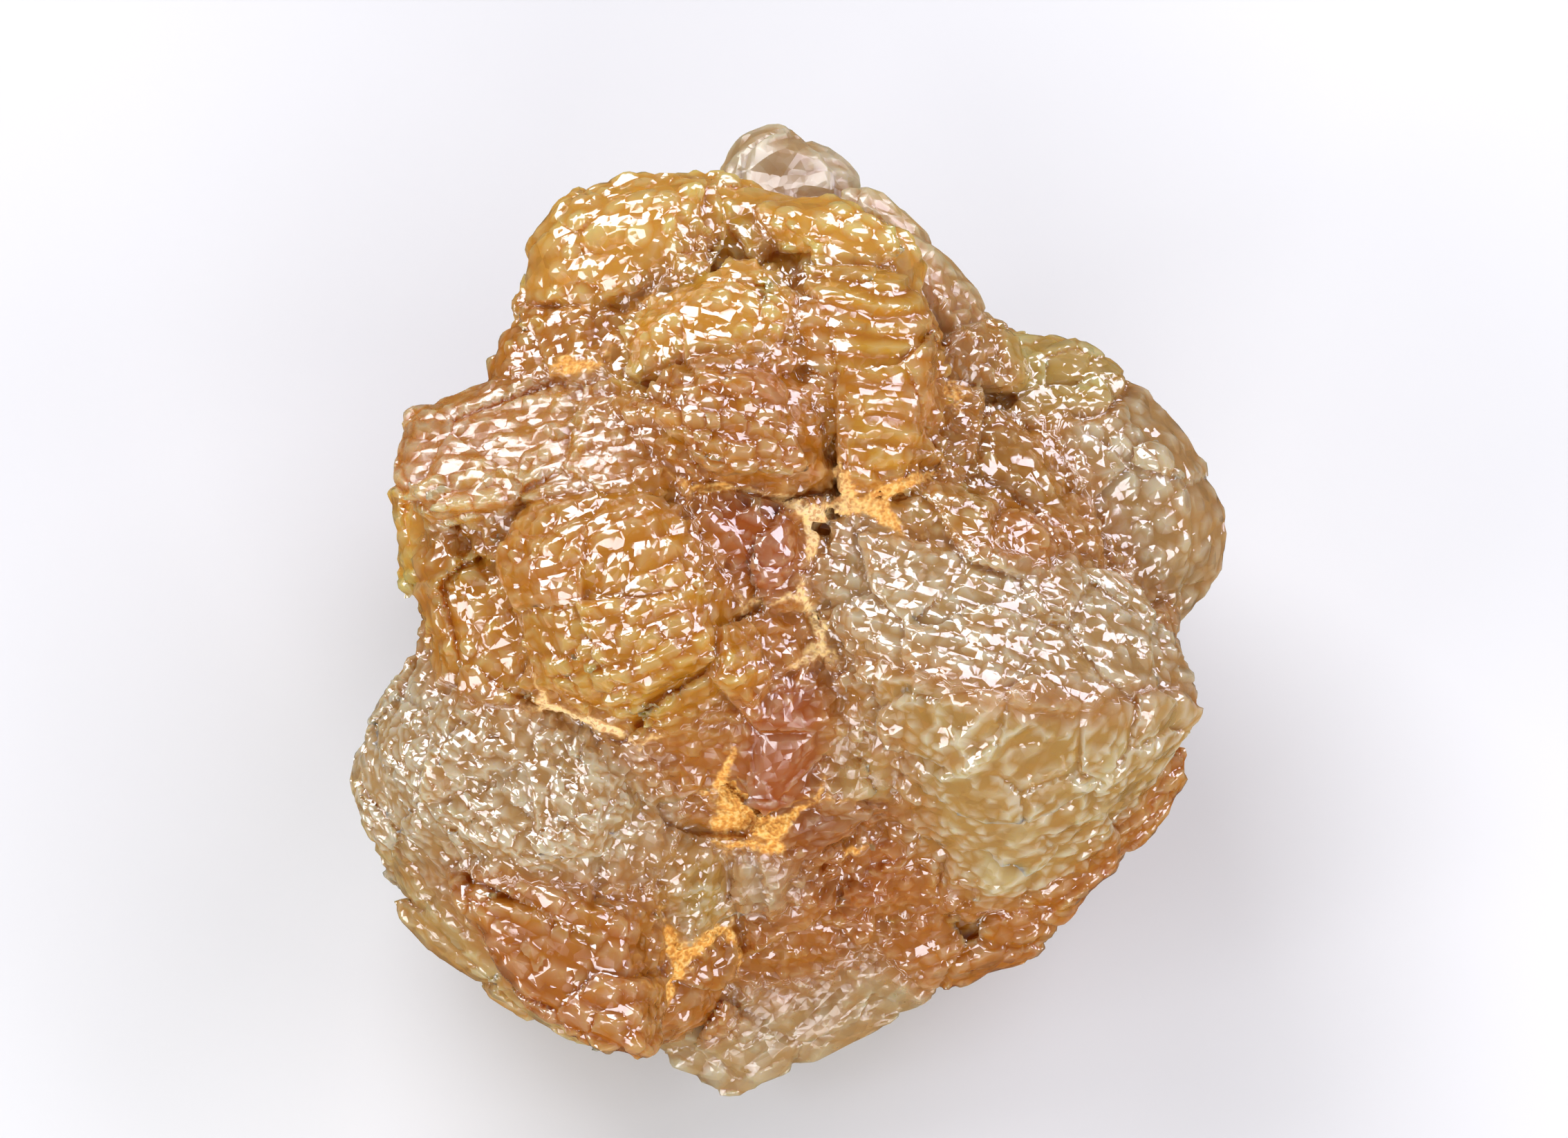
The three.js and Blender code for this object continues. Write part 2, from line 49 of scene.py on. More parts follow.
SHARPNESS = 13  # how tight the edges of a crystal are, per millimetre
BAND = 0.42  # how far from the surface the second grid is worked out
NEAR = 0.15  # how far from the surface the last grid is worked out
REACH = 0.9  # how far round a crystal its distance is worked out
BLEND = 6.5  # how tightly two crystals meet, per millimetre
CHANGE = 16  # how quickly the relief changes from one crystal's to the next, per millimetre
DEEP = 0.8  # distances count as no more than this where crystals are blended
CLOSE = 0.25  # how much further than the nearest a crystal may be for its relief to count
CRACK = 0.06  # depth of the crack where two crystals meet
BROAD_SPACING = 1.5  # size of the broad broken faces under the growth relief
BROAD_HEIGHT = 0.17  # how far they stand out
SMOOTHINGS = 9  # how often the crystals' distances are averaged to make the filling of the joints
FILL_OVER = 0.06  # how far the filling is heaped above a level joint
FILL_SPACING = 0.34  # spacing of the crumbs on the filling
FILL_HEIGHT = 0.10  # height of the crumbs on the filling
FILL_BLEND = 12  # how tightly the filling meets the crystals, per millimetre
JOINT_EDGE = (-0.02, 0.16)  # how much nearer than the crystals the filling begins and ends to show
EDGE_REACH = 0.6  # how far from a crystal's surface its edges are rounded
SWELL = 0.05  # how far a crystal is swelled to make up for its rounded edges
CRACK_WIDTH = 0.08  # half width of the crack where two crystals meet
VEIN_WIDTH = 0.14  # half width of the vein of stain along it
FAR = 9.0  # more than any distance that matters
TINY = 1e-20  # stands in for nothing where a sum is divided by or its log taken
MARGIN = 0.45  # how far past the crystals the grids go
SEEPINGS = 14  # how often tints are averaged with those beside them
SEEP_SHARE = 0.6  # how far each goes towards the average, each time
MOST_TRIANGLES = 190000  # in the finished mesh

# Crystals of the face: height of the broad face's plane at the face's middle, its slope to the right
# and up, how far behind it the outline lies, size of the face as a share of the outline, length
# behind it, the outline round the crystal, and peaks of the face where it isn't flat.
FACE_CRYSTALS = {
    "core": dict(top=0.9, drop=0.8, depth=3.4, share=0.85, outline=[
        (-0.3, 5.7), (1.8, 4.6), (3.2, 3.2), (5, 2.3), (5.6, 1), (5.1, -1.2), (4.5, -3.2),
        (2.6, -4.6), (0.2, -5.7), (-2.2, -5.6), (-4.3, -4.8), (-5.3, -2.9), (-4.9, 1.3),
        (-3.6, 3.5), (-3, 5.1)]),
    "inner_core": dict(top=2.3, drop=0.7, share=0.8, outline=[
        (-4.3, 1.2), (-2.6, 4.1), (-0.5, 4.6), (1.5, 4.2), (2.5, 2.4), (3, 0.5), (2, -1.5),
        (0.9, -3.1), (-1.4, -4), (-3, -3), (-4.6, -1)]),
    "great_scale": dict(top=4.7, slope=(0.06, 0.02), drop=0.8, outline=[
        (-4.45, 0.75), (-3.7, 1.6), (-2, 1.8), (-1.1, 0.6), (-0.6, -0.95), (-2.05, -1.75),
        (-3.4, -1.3)]),
    "left_step": dict(top=3.2, slope=(0.35, 0.1), outline=[
        (-5.5, 0.65), (-4.8, 1), (-4, 0.4), (-3.45, -1.1), (-3.65, -1.55), (-4.55, -1.75),
        (-5.1, -1.05)]),
    "ledge_bank": dict(top=3.3, slope=(0.3, -0.75), drop=0.4, share=0.86, outline=[
        (-5.7, 2.9), (-4.2, 3.35), (-2.7, 3.4), (-1.8, 2.6), (-2.2, 1.8), (-4.4, 1.35), (-5.3, 1.3),
        (-5.9, 1.8)]),
    "left_edge": dict(top=1.9, slope=(0.5, 0), outline=[
        (-6, 1.75), (-5.1, 1.7), (-4.7, 0.9), (-5.2, 0.2), (-5.75, 0.2), (-5.95, 0.9)]),
    "middle_block": dict(top=4.5, slope=(-0.1, 0.08), drop=0.7, outline=[
        (-2.3, 2.9), (-1.6, 3.55), (-0.1, 3.6), (0.55, 2.5), (0.6, 1.8), (-0.4, 1.7), (-1.6, 2.1)]),
    "red_lens": dict(top=4.1, slope=(-0.1, 0.1), drop=0.6, outline=[
        (-1.4, 1.4), (-0.95, 1.7), (-0.15, 1.5), (0.2, 0.75), (-0.15, 0.15), (-0.6, 0.05),
        (-1.1, 0.7)]),
    "heart": dict(top=3.6, drop=0.4, outline=[
        (-0.7, 0.1), (0.1, 0.1), (0.35, -0.4), (0, -0.9), (-0.6, -0.9), (-0.85, -0.4)]),
    "top_left_block": dict(top=2.6, slope=(0.25, -0.2), drop=0.7, outline=[
        (-3.3, 6.25), (-2.2, 6.45), (-1.3, 6.3), (-1.5, 5.2), (-2.5, 4.4), (-3.8, 4.4),
        (-3.95, 5.4)]),
    "top_middle": dict(top=2.2, slope=(0, -0.3), outline=[
        (-2.2, 6.3), (-0.9, 6.5), (0.3, 6), (0.1, 4.9), (-1.5, 4.9), (-2.1, 5.5)]),
    "shoulder": dict(top=2.4, slope=(0.3, -0.2), outline=[
        (-4.45, 4.1), (-3.7, 4.6), (-2.4, 4.5), (-2.4, 3.4), (-3.6, 3.1), (-4.45, 3.4)]),
    "crest": dict(top=3.7, slope=(0, -0.25), drop=0.5, outline=[
        (-2.4, 4.1), (-1.5, 4.9), (-0.5, 5), (0.2, 4.45), (-0.1, 3.7), (-1.3, 3.5), (-2.3, 3.4)]),
    "top_right_ridge": dict(top=2.7, slope=(-0.2, -0.25), outline=[
        (-0.5, 5.95), (0.65, 6.15), (1.8, 5.75), (2.2, 5.15), (1.8, 4.75), (0.2, 5.1)]),
    "stair_block": dict(top=3.5, slope=(-0.15, -0.05), drop=0.6, share=0.78, outline=[
        (0.3, 4.95), (1.6, 5.05), (2.3, 4.35), (2.15, 3.3), (1.95, 2.15), (1.05, 1.55),
        (0.55, 2.15), (0.15, 3.9)]),
    "tip": dict(top=-0.4, slope=(0, -0.3), drop=0.7, outline=[
        (-0.75, 7.05), (-0.2, 7.35), (0.5, 7.15), (1.1, 6.6), (0.9, 5.6), (-0.6, 5.6), (-0.95, 6.5)]),
    "top_right_flank": dict(top=0.8, slope=(-0.4, -0.3), outline=[
        (1, 6.55), (2, 5.85), (2.95, 4.75), (3.15, 4), (2.4, 3.3), (1.4, 3.8), (0.6, 5.6)]),
    "round_knob": dict(top=1.3, slope=(-0.1, 0), drop=1.3, share=0.55, outline=[
        (3.6, 3.6), (5.1, 3.5), (6.25, 2.4), (6.78, 1.35), (6.65, 0.4), (5.9, -0.35), (4.9, -0.3),
        (3.6, 1.2)]),
    "knob_head": dict(top=1.1, slope=(-0.1, -0.2), drop=0.7, outline=[
        (3.15, 4.05), (4.5, 4.05), (5.2, 3.4), (4.9, 2.6), (3.6, 2.2), (3.1, 3)]),
    "saddle": dict(top=2.3, slope=(-0.25, -0.15), outline=[
        (2, 2.1), (2.7, 2.5), (3.7, 2.6), (4.4, 1.6), (4.8, 0.6), (3.7, 0.5), (1.7, 1.2)]),
    "web": dict(top=1.2, slope=(-0.2, 0), outline=[
        (2, 3.8), (3.1, 4), (3.7, 2.4), (2.6, 1.8), (1.8, 2.2)]),
    "red_chip": dict(top=3.2, slope=(-0.2, 0), drop=0.3, outline=[
        (3.1, 1.25), (3.7, 1.4), (4.1, 0.9), (3.6, 0.4), (3.1, 0.6)]),
    "shelf": dict(top=3.4, slope=(-0.05, -0.1), drop=0.3, outline=[
        (1.5, 1.35), (2.3, 1.65), (3.1, 1.5), (3.1, 0.8), (1.5, 0.8)]),
    "great_table": dict(top=2.6, slope=(-0.14, 0.42), depth=4, outline=[
        (0.3, 0.7), (1, 1.1), (2.9, 0.9), (4.85, 0.4), (5.95, -0.5), (6.15, -1.5), (5.2, -2.2),
        (2.2, -1.9), (0.7, -0.9)], peaks=[
        (0.8, 0.5, 3.7), (2.8, 0.5, 3.8), (4.8, -0.1, 3.1), (5.6, -1, 2.7), (4.5, -1.5, 4),
        (3.1, -1.4, 4.8), (1.4, -0.5, 4.2)]),
    "great_point": dict(top=1.9, slope=(-0.14, 0.42), depth=4, outline=[
        (0.9, -0.9), (3, -0.6), (5.6, -1), (6.15, -1.6), (5.6, -2.7), (4.5, -3.8), (3.8, -4.4),
        (3, -4.3), (2, -3.2), (1.5, -2.2)], peaks=[
        (1.4, -0.9, 4), (3.1, -1.3, 4.75), (4.5, -1.5, 3.95), (5.7, -1.5, 2.7), (3, -2.4, 4.2),
        (4.6, -2.7, 3.1), (3.6, -3.9, 2), (2.3, -2.6, 3.5)]),
    "under_point": dict(top=0.9, slope=(-0.2, 0.2), outline=[
        (5, -1.9), (6.2, -2.3), (6, -2.95), (5.1, -4), (4.2, -4.9), (3.4, -4.6), (4, -3.4)]),
    "lower_right_lumps": dict(top=0.3, slope=(0, 0.2), outline=[
        (1.5, -4.5), (2.2, -4), (3.4, -3.9), (4.4, -4.7), (3.6, -5.45), (2.3, -5.95), (1.3, -5.5)]),
    "left_lobe": dict(top=3, slope=(0.2, 0.06), drop=1.3, share=0.6, depth=4, outline=[
        (-6.6, -2.3), (-6, -1.3), (-5.2, -0.8), (-4, -1), (-2.4, -1.5), (-1.8, -2.3), (-1.6, -3.4),
        (-2.2, -4.3), (-3.4, -4.6), (-5.1, -4.3), (-6.3, -3.4)]),
    "lower_left_flank": dict(top=1.2, slope=(0.3, 0.3), drop=0.7, outline=[
        (-6.65, -2.6), (-6.15, -4.15), (-5.5, -5.35), (-4, -6.35), (-2.1, -6.9), (-2.4, -4.5),
        (-4.8, -2.6)]),
    "wedge": dict(top=2.7, slope=(0.1, 0.12), drop=0.35, share=0.86, depth=5.5, outline=[
        (-5.1, -4.2), (-3.6, -4.2), (-2.3, -4.6), (-2.05, -6.85), (-2.7, -6.75), (-4.1, -5.9)]),
    "pale_foot": dict(top=-0.1, slope=(0, 0.35), drop=0.5, outline=[
        (-1, -4.6), (0.9, -4.5), (2.5, -5.2), (2.5, -5.8), (1.4, -6.25), (0.4, -7.15),
        (-0.75, -7.6), (-1.25, -7.4), (-2.2, -6.8), (-2, -5.4)]),
    "stained_heap": dict(top=1.1, slope=(-0.1, 0.3), outline=[
        (-2.4, -4.5), (-1.4, -4.4), (-0.9, -5.2), (-1.2, -6.4), (-2.3, -6.9)]),
    "smooth_lump": dict(top=3.2, slope=(0, 0.25), drop=0.6, share=0.6, outline=[
        (-2, -1.2), (-1, -0.9), (-0.55, -1.4), (-0.7, -2.4), (-1.5, -2.7), (-2.05, -2.2)]),
    "smooth_prism": dict(top=3.4, slope=(0, 0.2), drop=0.4, share=0.6, outline=[
        (-0.6, -0.9), (0.2, -0.7), (0.6, -1.2), (0.4, -2.5), (-0.1, -3.1), (-0.7, -2.9),
        (-0.75, -1.8)]),
    "beige_wedge": dict(top=2.9, slope=(0.1, 0.2), drop=0.4, outline=[
        (0.4, -0.9), (1.1, -1.1), (1.8, -2.2), (1.6, -3), (0.8, -2.9), (0.4, -2.2)]),
    "brown_step": dict(top=2.1, slope=(0, 0.2), drop=0.3, outline=[
        (-1.7, -2.5), (-0.6, -2.6), (0.2, -3), (0, -3.6), (-1.2, -3.5)]),
    "blade": dict(top=2.3, slope=(0.1, 0.5), drop=0.25, outline=[
        (-0.1, -3.4), (1.2, -2.9), (1.7, -3), (1, -3.5), (0.2, -3.75)]),
    "tooth": dict(top=1.9, slope=(0.1, 0), drop=0.35, share=0.4, outline=[
        (-1.05, -3.3), (-0.6, -3.5), (-0.1, -4), (-0.3, -4.5), (-0.85, -4.4)]),
    "glitter_block": dict(top=2, slope=(-0.1, 0.2), drop=0.3, outline=[
        (-2.2, -3.3), (-1.4, -3.2), (-0.9, -3.9), (-0.9, -4.5), (-1.5, -4.9), (-2.2, -4.2)]),
    "root": dict(top=1, slope=(0, 0.2), drop=0.4, outline=[
        (-0.4, -3.7), (0.6, -3.5), (1.7, -3.2), (1.9, -4), (1.2, -4.9), (-0.2, -5)]),
}

# Blocks round the sides and under the stone: middle, half size along its three axes, the way its
# last axis points, and how many degrees it is spun round that.
SIDE_BLOCKS = {
    "back_foot_right": ((2, 2, -3.9), (2, 1.9, 1.9), (0.2, 0.8, -0.65), 20),
    "back_foot_left": ((-2.3, 1.9, -3.8), (1.9, 1.9, 1.9), (-0.3, 0.75, -0.65), -12),
    "front_foot": ((0.1, -2.6, -2.2), (2.3, 1.9, 2.1), (0.1, -0.4, -1), 30),
    "right_haunch": ((3.9, -1, -2.2), (1.5, 1.8, 1.7), (0.7, -0.2, -1), -20),
    "left_haunch": ((-3.8, -1.4, -2.3), (1.5, 1.7, 1.6), (-0.6, -0.2, -1), 25),
    "back_right": ((4.5, 1.3, -1.6), (1.5, 1.5, 1.5), (1, 0.3, -0.5), 15),
    "right_cheek": ((4.3, -1.9, -0.8), (1.5, 1.4, 1.4), (1, -0.3, -0.3), -25),
    "lower_right_cheek": ((2.6, -3.8, -1.4), (1.5, 1.2, 1.4), (0.5, -0.8, -0.35), 10),
    "chin": ((0, -4.9, -1.9), (1.6, 1.2, 1.6), (0, -1, -0.3), -15),
    "lower_left_cheek": ((-2.9, -4.6, -1.3), (1.6, 1.3, 1.4), (-0.5, -0.9, -0.3), 20),
    "left_jowl": ((-4.8, -2.9, -1.1), (1.4, 1.3, 1.5), (-1, -0.2, -0.3), -15),
    "left_temple": ((-3.9, 0.9, -0.9), (1.5, 1.4, 1.5), (-1, 0, -0.4), 25),
    "back_left": ((-2.8, 3, -1.2), (1.3, 1.4, 1.4), (-0.8, 0.6, -0.3), 0),
    "nape_left": ((-1.5, 4.6, -0.9), (1.4, 1.3, 1.4), (-0.3, 1, -0.2), 30),
    "nape_right": ((0.7, 4.3, -2.3), (1.3, 1.4, 1.6), (0.2, 0.9, -0.6), -20),
    "back_corner": ((2.6, 2.6, -1.7), (1.2, 1.3, 1.3), (0.7, 0.7, -0.3), 15),
}

# Tints, as red, green and blue from 0 to 1 on a screen.
TINTS = {
    "amber": (0.865, 0.655, 0.215),
    "gold": (0.965, 0.815, 0.40),
    "orange_brown": (0.80, 0.555, 0.16),
    "rust": (0.76, 0.455, 0.12),
    "brown": (0.80, 0.64, 0.325),
    "dark_brown": (0.70, 0.465, 0.195),
    "olive": (0.85, 0.78, 0.49),
    "grey_olive": (0.825, 0.75, 0.605),
    "pale": (0.835, 0.75, 0.52),
    "beige": (0.855, 0.755, 0.51),
    "pink_beige": (0.81, 0.735, 0.575),
    "purple_beige": (0.80, 0.72, 0.60),
}

# Finish of each crystal: tint, kind of relief, spacing along a row and between rows, height, and
# turn of the rows in degrees.
FINISHES = {
    "core": ("orange_brown", "scales", 0.5, 0.4, 0.08, 0),
    "inner_core": ("orange_brown", "crumbs", 0.4, 0.4, 0.10, 0),
    "great_scale": ("amber", "scales", 0.42, 0.36, 0.13, 17),
    "left_step": ("amber", "scales", 0.46, 0.44, 0.15, 20),
    "ledge_bank": ("amber", "scales", 0.5, 0.32, 0.12, 8),
    "left_edge": ("gold", "scales", 0.42, 0.36, 0.1, 10),
    "middle_block": ("orange_brown", "scales", 0.45, 0.34, 0.10, -8),
    "red_lens": ("rust", "facets", 1.2, 0.7, 0.07, -40),
    "heart": ("orange_brown", "crumbs", 0.35, 0.3, 0.09, 0),
    "top_left_block": ("gold", "knobs", 0.44, 0.38, 0.12, 10),
    "top_middle": ("gold", "knobs", 0.5, 0.36, 0.12, -8),
    "shoulder": ("amber", "knobs", 0.38, 0.34, 0.11, 0),
    "crest": ("gold", "knobs", 0.38, 0.32, 0.11, -8),
    "top_right_ridge": ("gold", "knobs", 0.46, 0.36, 0.12, -20),
    "stair_block": ("amber", "stairs", 0.9, 0.36, 0.12, -6),
    "tip": ("pink_beige", "wrinkles", 0.9, 0.5, 0.06, 30),
    "top_right_flank": ("beige", "wrinkles", 0.9, 0.4, 0.08, -50),
    "round_knob": ("grey_olive", "knobs", 0.47, 0.43, 0.14, 32),
    "knob_head": ("olive", "facets", 0.7, 0.5, 0.1, 20),
    "saddle": ("brown", "knobs", 0.42, 0.34, 0.1, 0),
    "web": ("pink_beige", "facets", 0.6, 0.4, 0.12, 40),
    "red_chip": ("orange_brown", "facets", 0.5, 0.3, 0.08, 20),
    "shelf": ("brown", "knobs", 0.36, 0.26, 0.07, -10),
    "great_table": ("grey_olive", "scales", 0.36, 0.28, 0.085, -16),
    "great_point": ("pale", "net", 0.62, 0.38, 0.14, 35),
    "under_point": ("orange_brown", "scales", 0.46, 0.36, 0.11, 40),
    "lower_right_lumps": ("orange_brown", "scales", 0.5, 0.4, 0.11, 20),
    "left_lobe": ("grey_olive", "steps", 0.40, 0.24, 0.08, -35),
    "lower_left_flank": ("beige", "scales", 0.5, 0.4, 0.09, -35),
    "wedge": ("orange_brown", "scales", 0.5, 0.42, 0.14, -30),
    "pale_foot": ("pink_beige", "scales", 0.8, 0.42, 0.08, 40),
    "stained_heap": ("orange_brown", "crumbs", 0.4, 0.34, 0.13, 12),
    "smooth_lump": ("orange_brown", "facets", 0.9, 0.7, 0.10, 60),
    "smooth_prism": ("rust", "facets", 1.3, 0.6, 0.08, 80),
    "beige_wedge": ("beige", "facets", 0.9, 0.5, 0.08, 70),
    "brown_step": ("orange_brown", "facets", 0.5, 0.3, 0.10, 0),
    "blade": ("dark_brown", "facets", 0.8, 0.3, 0.05, 20),
    "tooth": ("purple_beige", "facets", 0.8, 0.5, 0.04, 40),
    "glitter_block": ("olive", "steps", 0.3, 0.22, 0.09, 30),
    "root": ("rust", "facets", 0.8, 0.5, 0.11, 60),
    "back_foot_right": ("brown", "knobs", 0.52, 0.44, 0.14, 25),
    "back_foot_left": ("amber", "knobs", 0.46, 0.42, 0.13, -20),
    "front_foot": ("brown", "wrinkles", 0.7, 0.5, 0.10, 0),
    "right_haunch": ("orange_brown", "scales", 0.55, 0.45, 0.14, 20),
    "left_haunch": ("grey_olive", "steps", 0.5, 0.35, 0.12, -15),
    "back_right": ("olive", "knobs", 0.48, 0.44, 0.14, 30),
    "right_cheek": ("amber", "scales", 0.5, 0.4, 0.13, 0),
    "lower_right_cheek": ("orange_brown", "scales", 0.5, 0.4, 0.13, 25),
    "chin": ("pink_beige", "scales", 0.8, 0.45, 0.10, 10),
    "lower_left_cheek": ("beige", "scales", 0.5, 0.42, 0.12, -20),
    "left_jowl": ("grey_olive", "steps", 0.5, 0.35, 0.11, 0),
    "left_temple": ("amber", "scales", 0.5, 0.4, 0.13, 20),
    "back_left": ("brown", "scales", 0.52, 0.44, 0.13, -25),
    "nape_left": ("gold", "knobs", 0.46, 0.42, 0.13, 0),
    "nape_right": ("beige", "wrinkles", 0.8, 0.5, 0.10, 0),
    "back_corner": ("brown", "knobs", 0.5, 0.44, 0.14, 35),
}

# How dull the crystals are that don't shine as the rest do, from 0 to 1.
DULLNESS = {
    "ledge_bank": 0.5, "tip": 1, "top_right_flank": 0.8, "web": 0.3, "pale_foot": 0.6, "tooth": 0.6,
    "smooth_lump": 0.2, "smooth_prism": 0.2, "beige_wedge": 0.5, "lower_left_flank": 0.3,
}

# How strongly the crests of the relief are painted pale on each crystal, a painted highlight where they
# would catch the light, from 0 to 1.
CREST_HIGHLIGHTS = {
    "great_point": 1, "great_table": 0.7, "left_lobe": 0.8, "round_knob": 0.6, "ledge_bank": 0.6,
    "glitter_block": 0.8, "top_right_flank": 0.6, "left_haunch": 0.8, "left_jowl": 0.8,
}
OTHER_CREST_HIGHLIGHTS = 0.3  # the same on all other crystals
CREST_START, CREST_END = 0.03, 0.18  # how far out a crest stands, in edge lengths, to take the painted highlight

# Powder and veins in the cracks: x, y and radius of each place, how thick it lies, and its kind.
STAINS = [
    (1.54, 1.75, 1.0, 1.0, "ochre"), (0.3, 1.3, 0.75, 0.9, "cream"), (-3.2, 3.9, 0.7, 0.9, "ochre"),
    (-2.9, -1.55, 1.1, 1.0, "cream"), (-0.35, -2.9, 1.1, 1.0, "ochre"), (-1.5, -5.4, 1.0, 1.0, "ochre"),
    (0.3, -0.3, 0.8, 0.9, "cream"), (2.4, 3.2, 0.7, 0.6, "ochre"), (-1.2, 2.0, 0.8, 0.7, "ochre"),
    (0.9, -3.4, 0.7, 0.7, "ochre"), (-0.6, -0.2, 0.6, 0.6, "cream"), (-1.9, 4.3, 0.8, 0.6, "ochre"),
]

# ---- Repeatable randomness and noise ----


def uneven(a, b):
    """A repeatable uneven number from -1 to 1 for each pair: twice a fast sine's fraction, less 1."""
    wave = math.sin(a * 12.9898 + b * 78.233 + 0.5) * 43758.5453
    return 2 * (wave - math.floor(wave)) - 1


def scrambled(i, j, k, seed):
    """Whole numbers from 0 to 2^32, one for each lattice cell.

    The cell's three numbers are multiplied by large odd numbers and mixed by shifts.
    """
    with np.errstate(over="ignore"):
        h = i.astype(np.uint32) * np.uint32(0x9E3779B1)
        h ^= j.astype(np.uint32) * np.uint32(0x85EBCA77)
        h ^= k.astype(np.uint32) * np.uint32(0xC2B2AE3D)
        h += np.uint32(seed * 0x27D4EB2F & 0xFFFFFFFF)
        h = (h ^ (h >> np.uint32(15))) * np.uint32(0x2C1B3C6D)
        h = (h ^ (h >> np.uint32(12))) * np.uint32(0x297A2D39)
        return h ^ (h >> np.uint32(15))


def three_parts(h):
    """Three numbers from 0 to 1 out of each scrambled one: its low, middle and high ten bits."""
    ten = np.uint32(1023)
    return [((h >> np.uint32(s)) & ten).astype(np.float32) / 1023 for s in (0, 11, 22)]


def smoothstep(low, high, x):
    """0 below low, 1 above high, and 3t^2 - 2t^3 between them."""
    t = np.clip((x - low) / (high - low), 0, 1)
    return t * t * (3 - 2 * t)


def soft_noise(q, seed):
    """Value noise from -1 to 1: random values at whole-number points, blended along each axis.

    The share of the next point is 3t^2 - 2t^3, where t is how far past the last point q is.
    """
    base = np.floor(q)
    t = smoothstep(0, 1, q - base)
    cell = base.astype(np.int64)
    total = np.zeros(len(q), np.float32)
    for di, dj, dk in itertools.product((0, 1), repeat=3):
        h = scrambled(cell[:, 0] + di, cell[:, 1] + dj, cell[:, 2] + dk, seed)
        weight = (t[:, 0] if di else 1 - t[:, 0]) * (t[:, 1] if dj else 1 - t[:, 1])
        weight = weight * (t[:, 2] if dk else 1 - t[:, 2])
        total += weight * (h.astype(np.float32) / 4294967295)
    return 2 * total - 1


def rough_noise(q, seed, octaves):
    """Soft noise summed over octaves, each twice as fine and half as high as the last."""
    total = np.zeros(len(q), np.float32)
    for n in range(octaves):
        total += soft_noise(q * 2**n + 17.3 * n, seed + n) / 2**n
    return total / (2 - 2.0 ** (1 - octaves))


def cells(q, seed, jitter):
    """Nearest of the points scattered one to a lattice cell, each second row set half a cell over.

    Each point lies up to jitter from its cell's middle along each axis. Returns how far the nearest
    is, how much further the second is, the way from it, and three random numbers that belong to it.
    """
    base = np.floor(q).astype(np.int64)
    first, second = np.full((2, len(q)), FAR, np.float32)
    way = np.zeros((len(q), 3), np.float32)
    mark = np.zeros(len(q), np.uint32)
    for di, dj, dk in itertools.product((-1, 0, 1), repeat=3):
        i, j, k = base[:, 0] + di, base[:, 1] + dj, base[:, 2] + dk
        h = scrambled(i, j, k, seed)
        a, b, c = three_parts(h)
        shift = np.where(((j + k) & 1) == 1, 0.25, -0.25)
        dx = q[:, 0] - (i + 0.5 + shift + jitter * (2 * a - 1))
        dy = q[:, 1] - (j + 0.5 + jitter * (2 * b - 1))
        dz = q[:, 2] - (k + 0.5 + jitter * (2 * c - 1))
        far = np.sqrt(dx * dx + dy * dy + dz * dz).astype(np.float32)
        closer = far < first
        second = np.where(closer, first, np.minimum(second, far))
        first = np.where(closer, far, first)
        way[closer] = np.stack([dx[closer], dy[closer], dz[closer]], 1)
        mark = np.where(closer, h, mark)
    return first, second - first, way, three_parts(scrambled(mark, mark, mark, seed + 7))


# ---- Growth relief: a height from about -0.5 to 1 for points q, counted in spacings ----


def scales(q, seed):
    """Hipped scales in rows: the least of a long rise, a short steep fall and two ends, in each cell."""
    _, _, way, (a, b, c) = cells(q, seed, 0.3)
    across = way[:, 1] + 0.5 * (a - 0.5) * way[:, 0]
    roof = np.minimum(0.55 + across, 1.9 * (0.55 - across))
    roof = np.minimum(roof, 1.8 * (0.56 - np.abs(way[:, 0])))
    tilt = 0.5 * (b - 0.5) * way[:, 0]
    return (1.35 * np.clip(roof, 0, 1) + tilt) * (0.65 + 0.55 * c)


def knobs(q, seed):
    """Faceted knobs: the least of a cone and a tilted top, of differing size, one to a cell."""
    far, _, way, (a, b, c) = cells(q, seed, 0.26)
    size = 0.5 + 0.18 * a
    cone = 1.9 * (size - far)
    top = 0.55 + 0.5 * (b - 0.3) * way[:, 0] + 0.6 * way[:, 1]
    return np.clip(np.minimum(cone, top), 0, 1) * (0.8 + 0.5 * c)


def stairs(q, seed):
    """Stair bars: a slow rise and a sudden fall once a row, their height wavering along the bar."""
    wander = 0.5 * soft_noise(q * (0.9, 0.3, 0.3), seed)
    layer = q[:, 1] + wander + 0.3 * q[:, 2]
    rise = layer - np.floor(layer)
    bar = np.minimum(rise / 0.55, (1 - rise) / 0.45)
    return bar * (0.75 + 0.5 * soft_noise(q * (2.3, 1, 1), seed + 1)) + 0.2 * facets(q * 1.6, seed + 2)


def facets(q, seed):
    """Broken faces: each cell is one plane, tilted its own way, meeting the next at a crisp step."""
    _, margin, way, (a, b, c) = cells(q, seed, 0.45)
    tilt = 1.5 * ((a - 0.5) * way[:, 0] + (b - 0.5) * way[:, 1] + (c - 0.5) * way[:, 2])
    return tilt + 0.55 * (c - 0.5) + 0.25 * smoothstep(0, 0.2, margin)


def steps(q, seed):
    """Fine shining steps: facets, with a second set half as wide and a third as high on them."""
    return facets(q, seed) + 0.45 * facets(q * 2.1 + 5.3, seed + 3)


def wrinkles(q, seed):
    """Folds: one minus the size of soft noise, so that it makes ridges where the noise is zero."""
    warped = q + 0.6 * soft_noise(q * 0.8, seed + 4)[:, None]
    ridge = 1 - np.abs(soft_noise(warped, seed)) * 2.2
    return 0.7 * ridge + 0.35 * (1 - 2 * np.abs(soft_noise(warped * 2.3, seed + 5)))


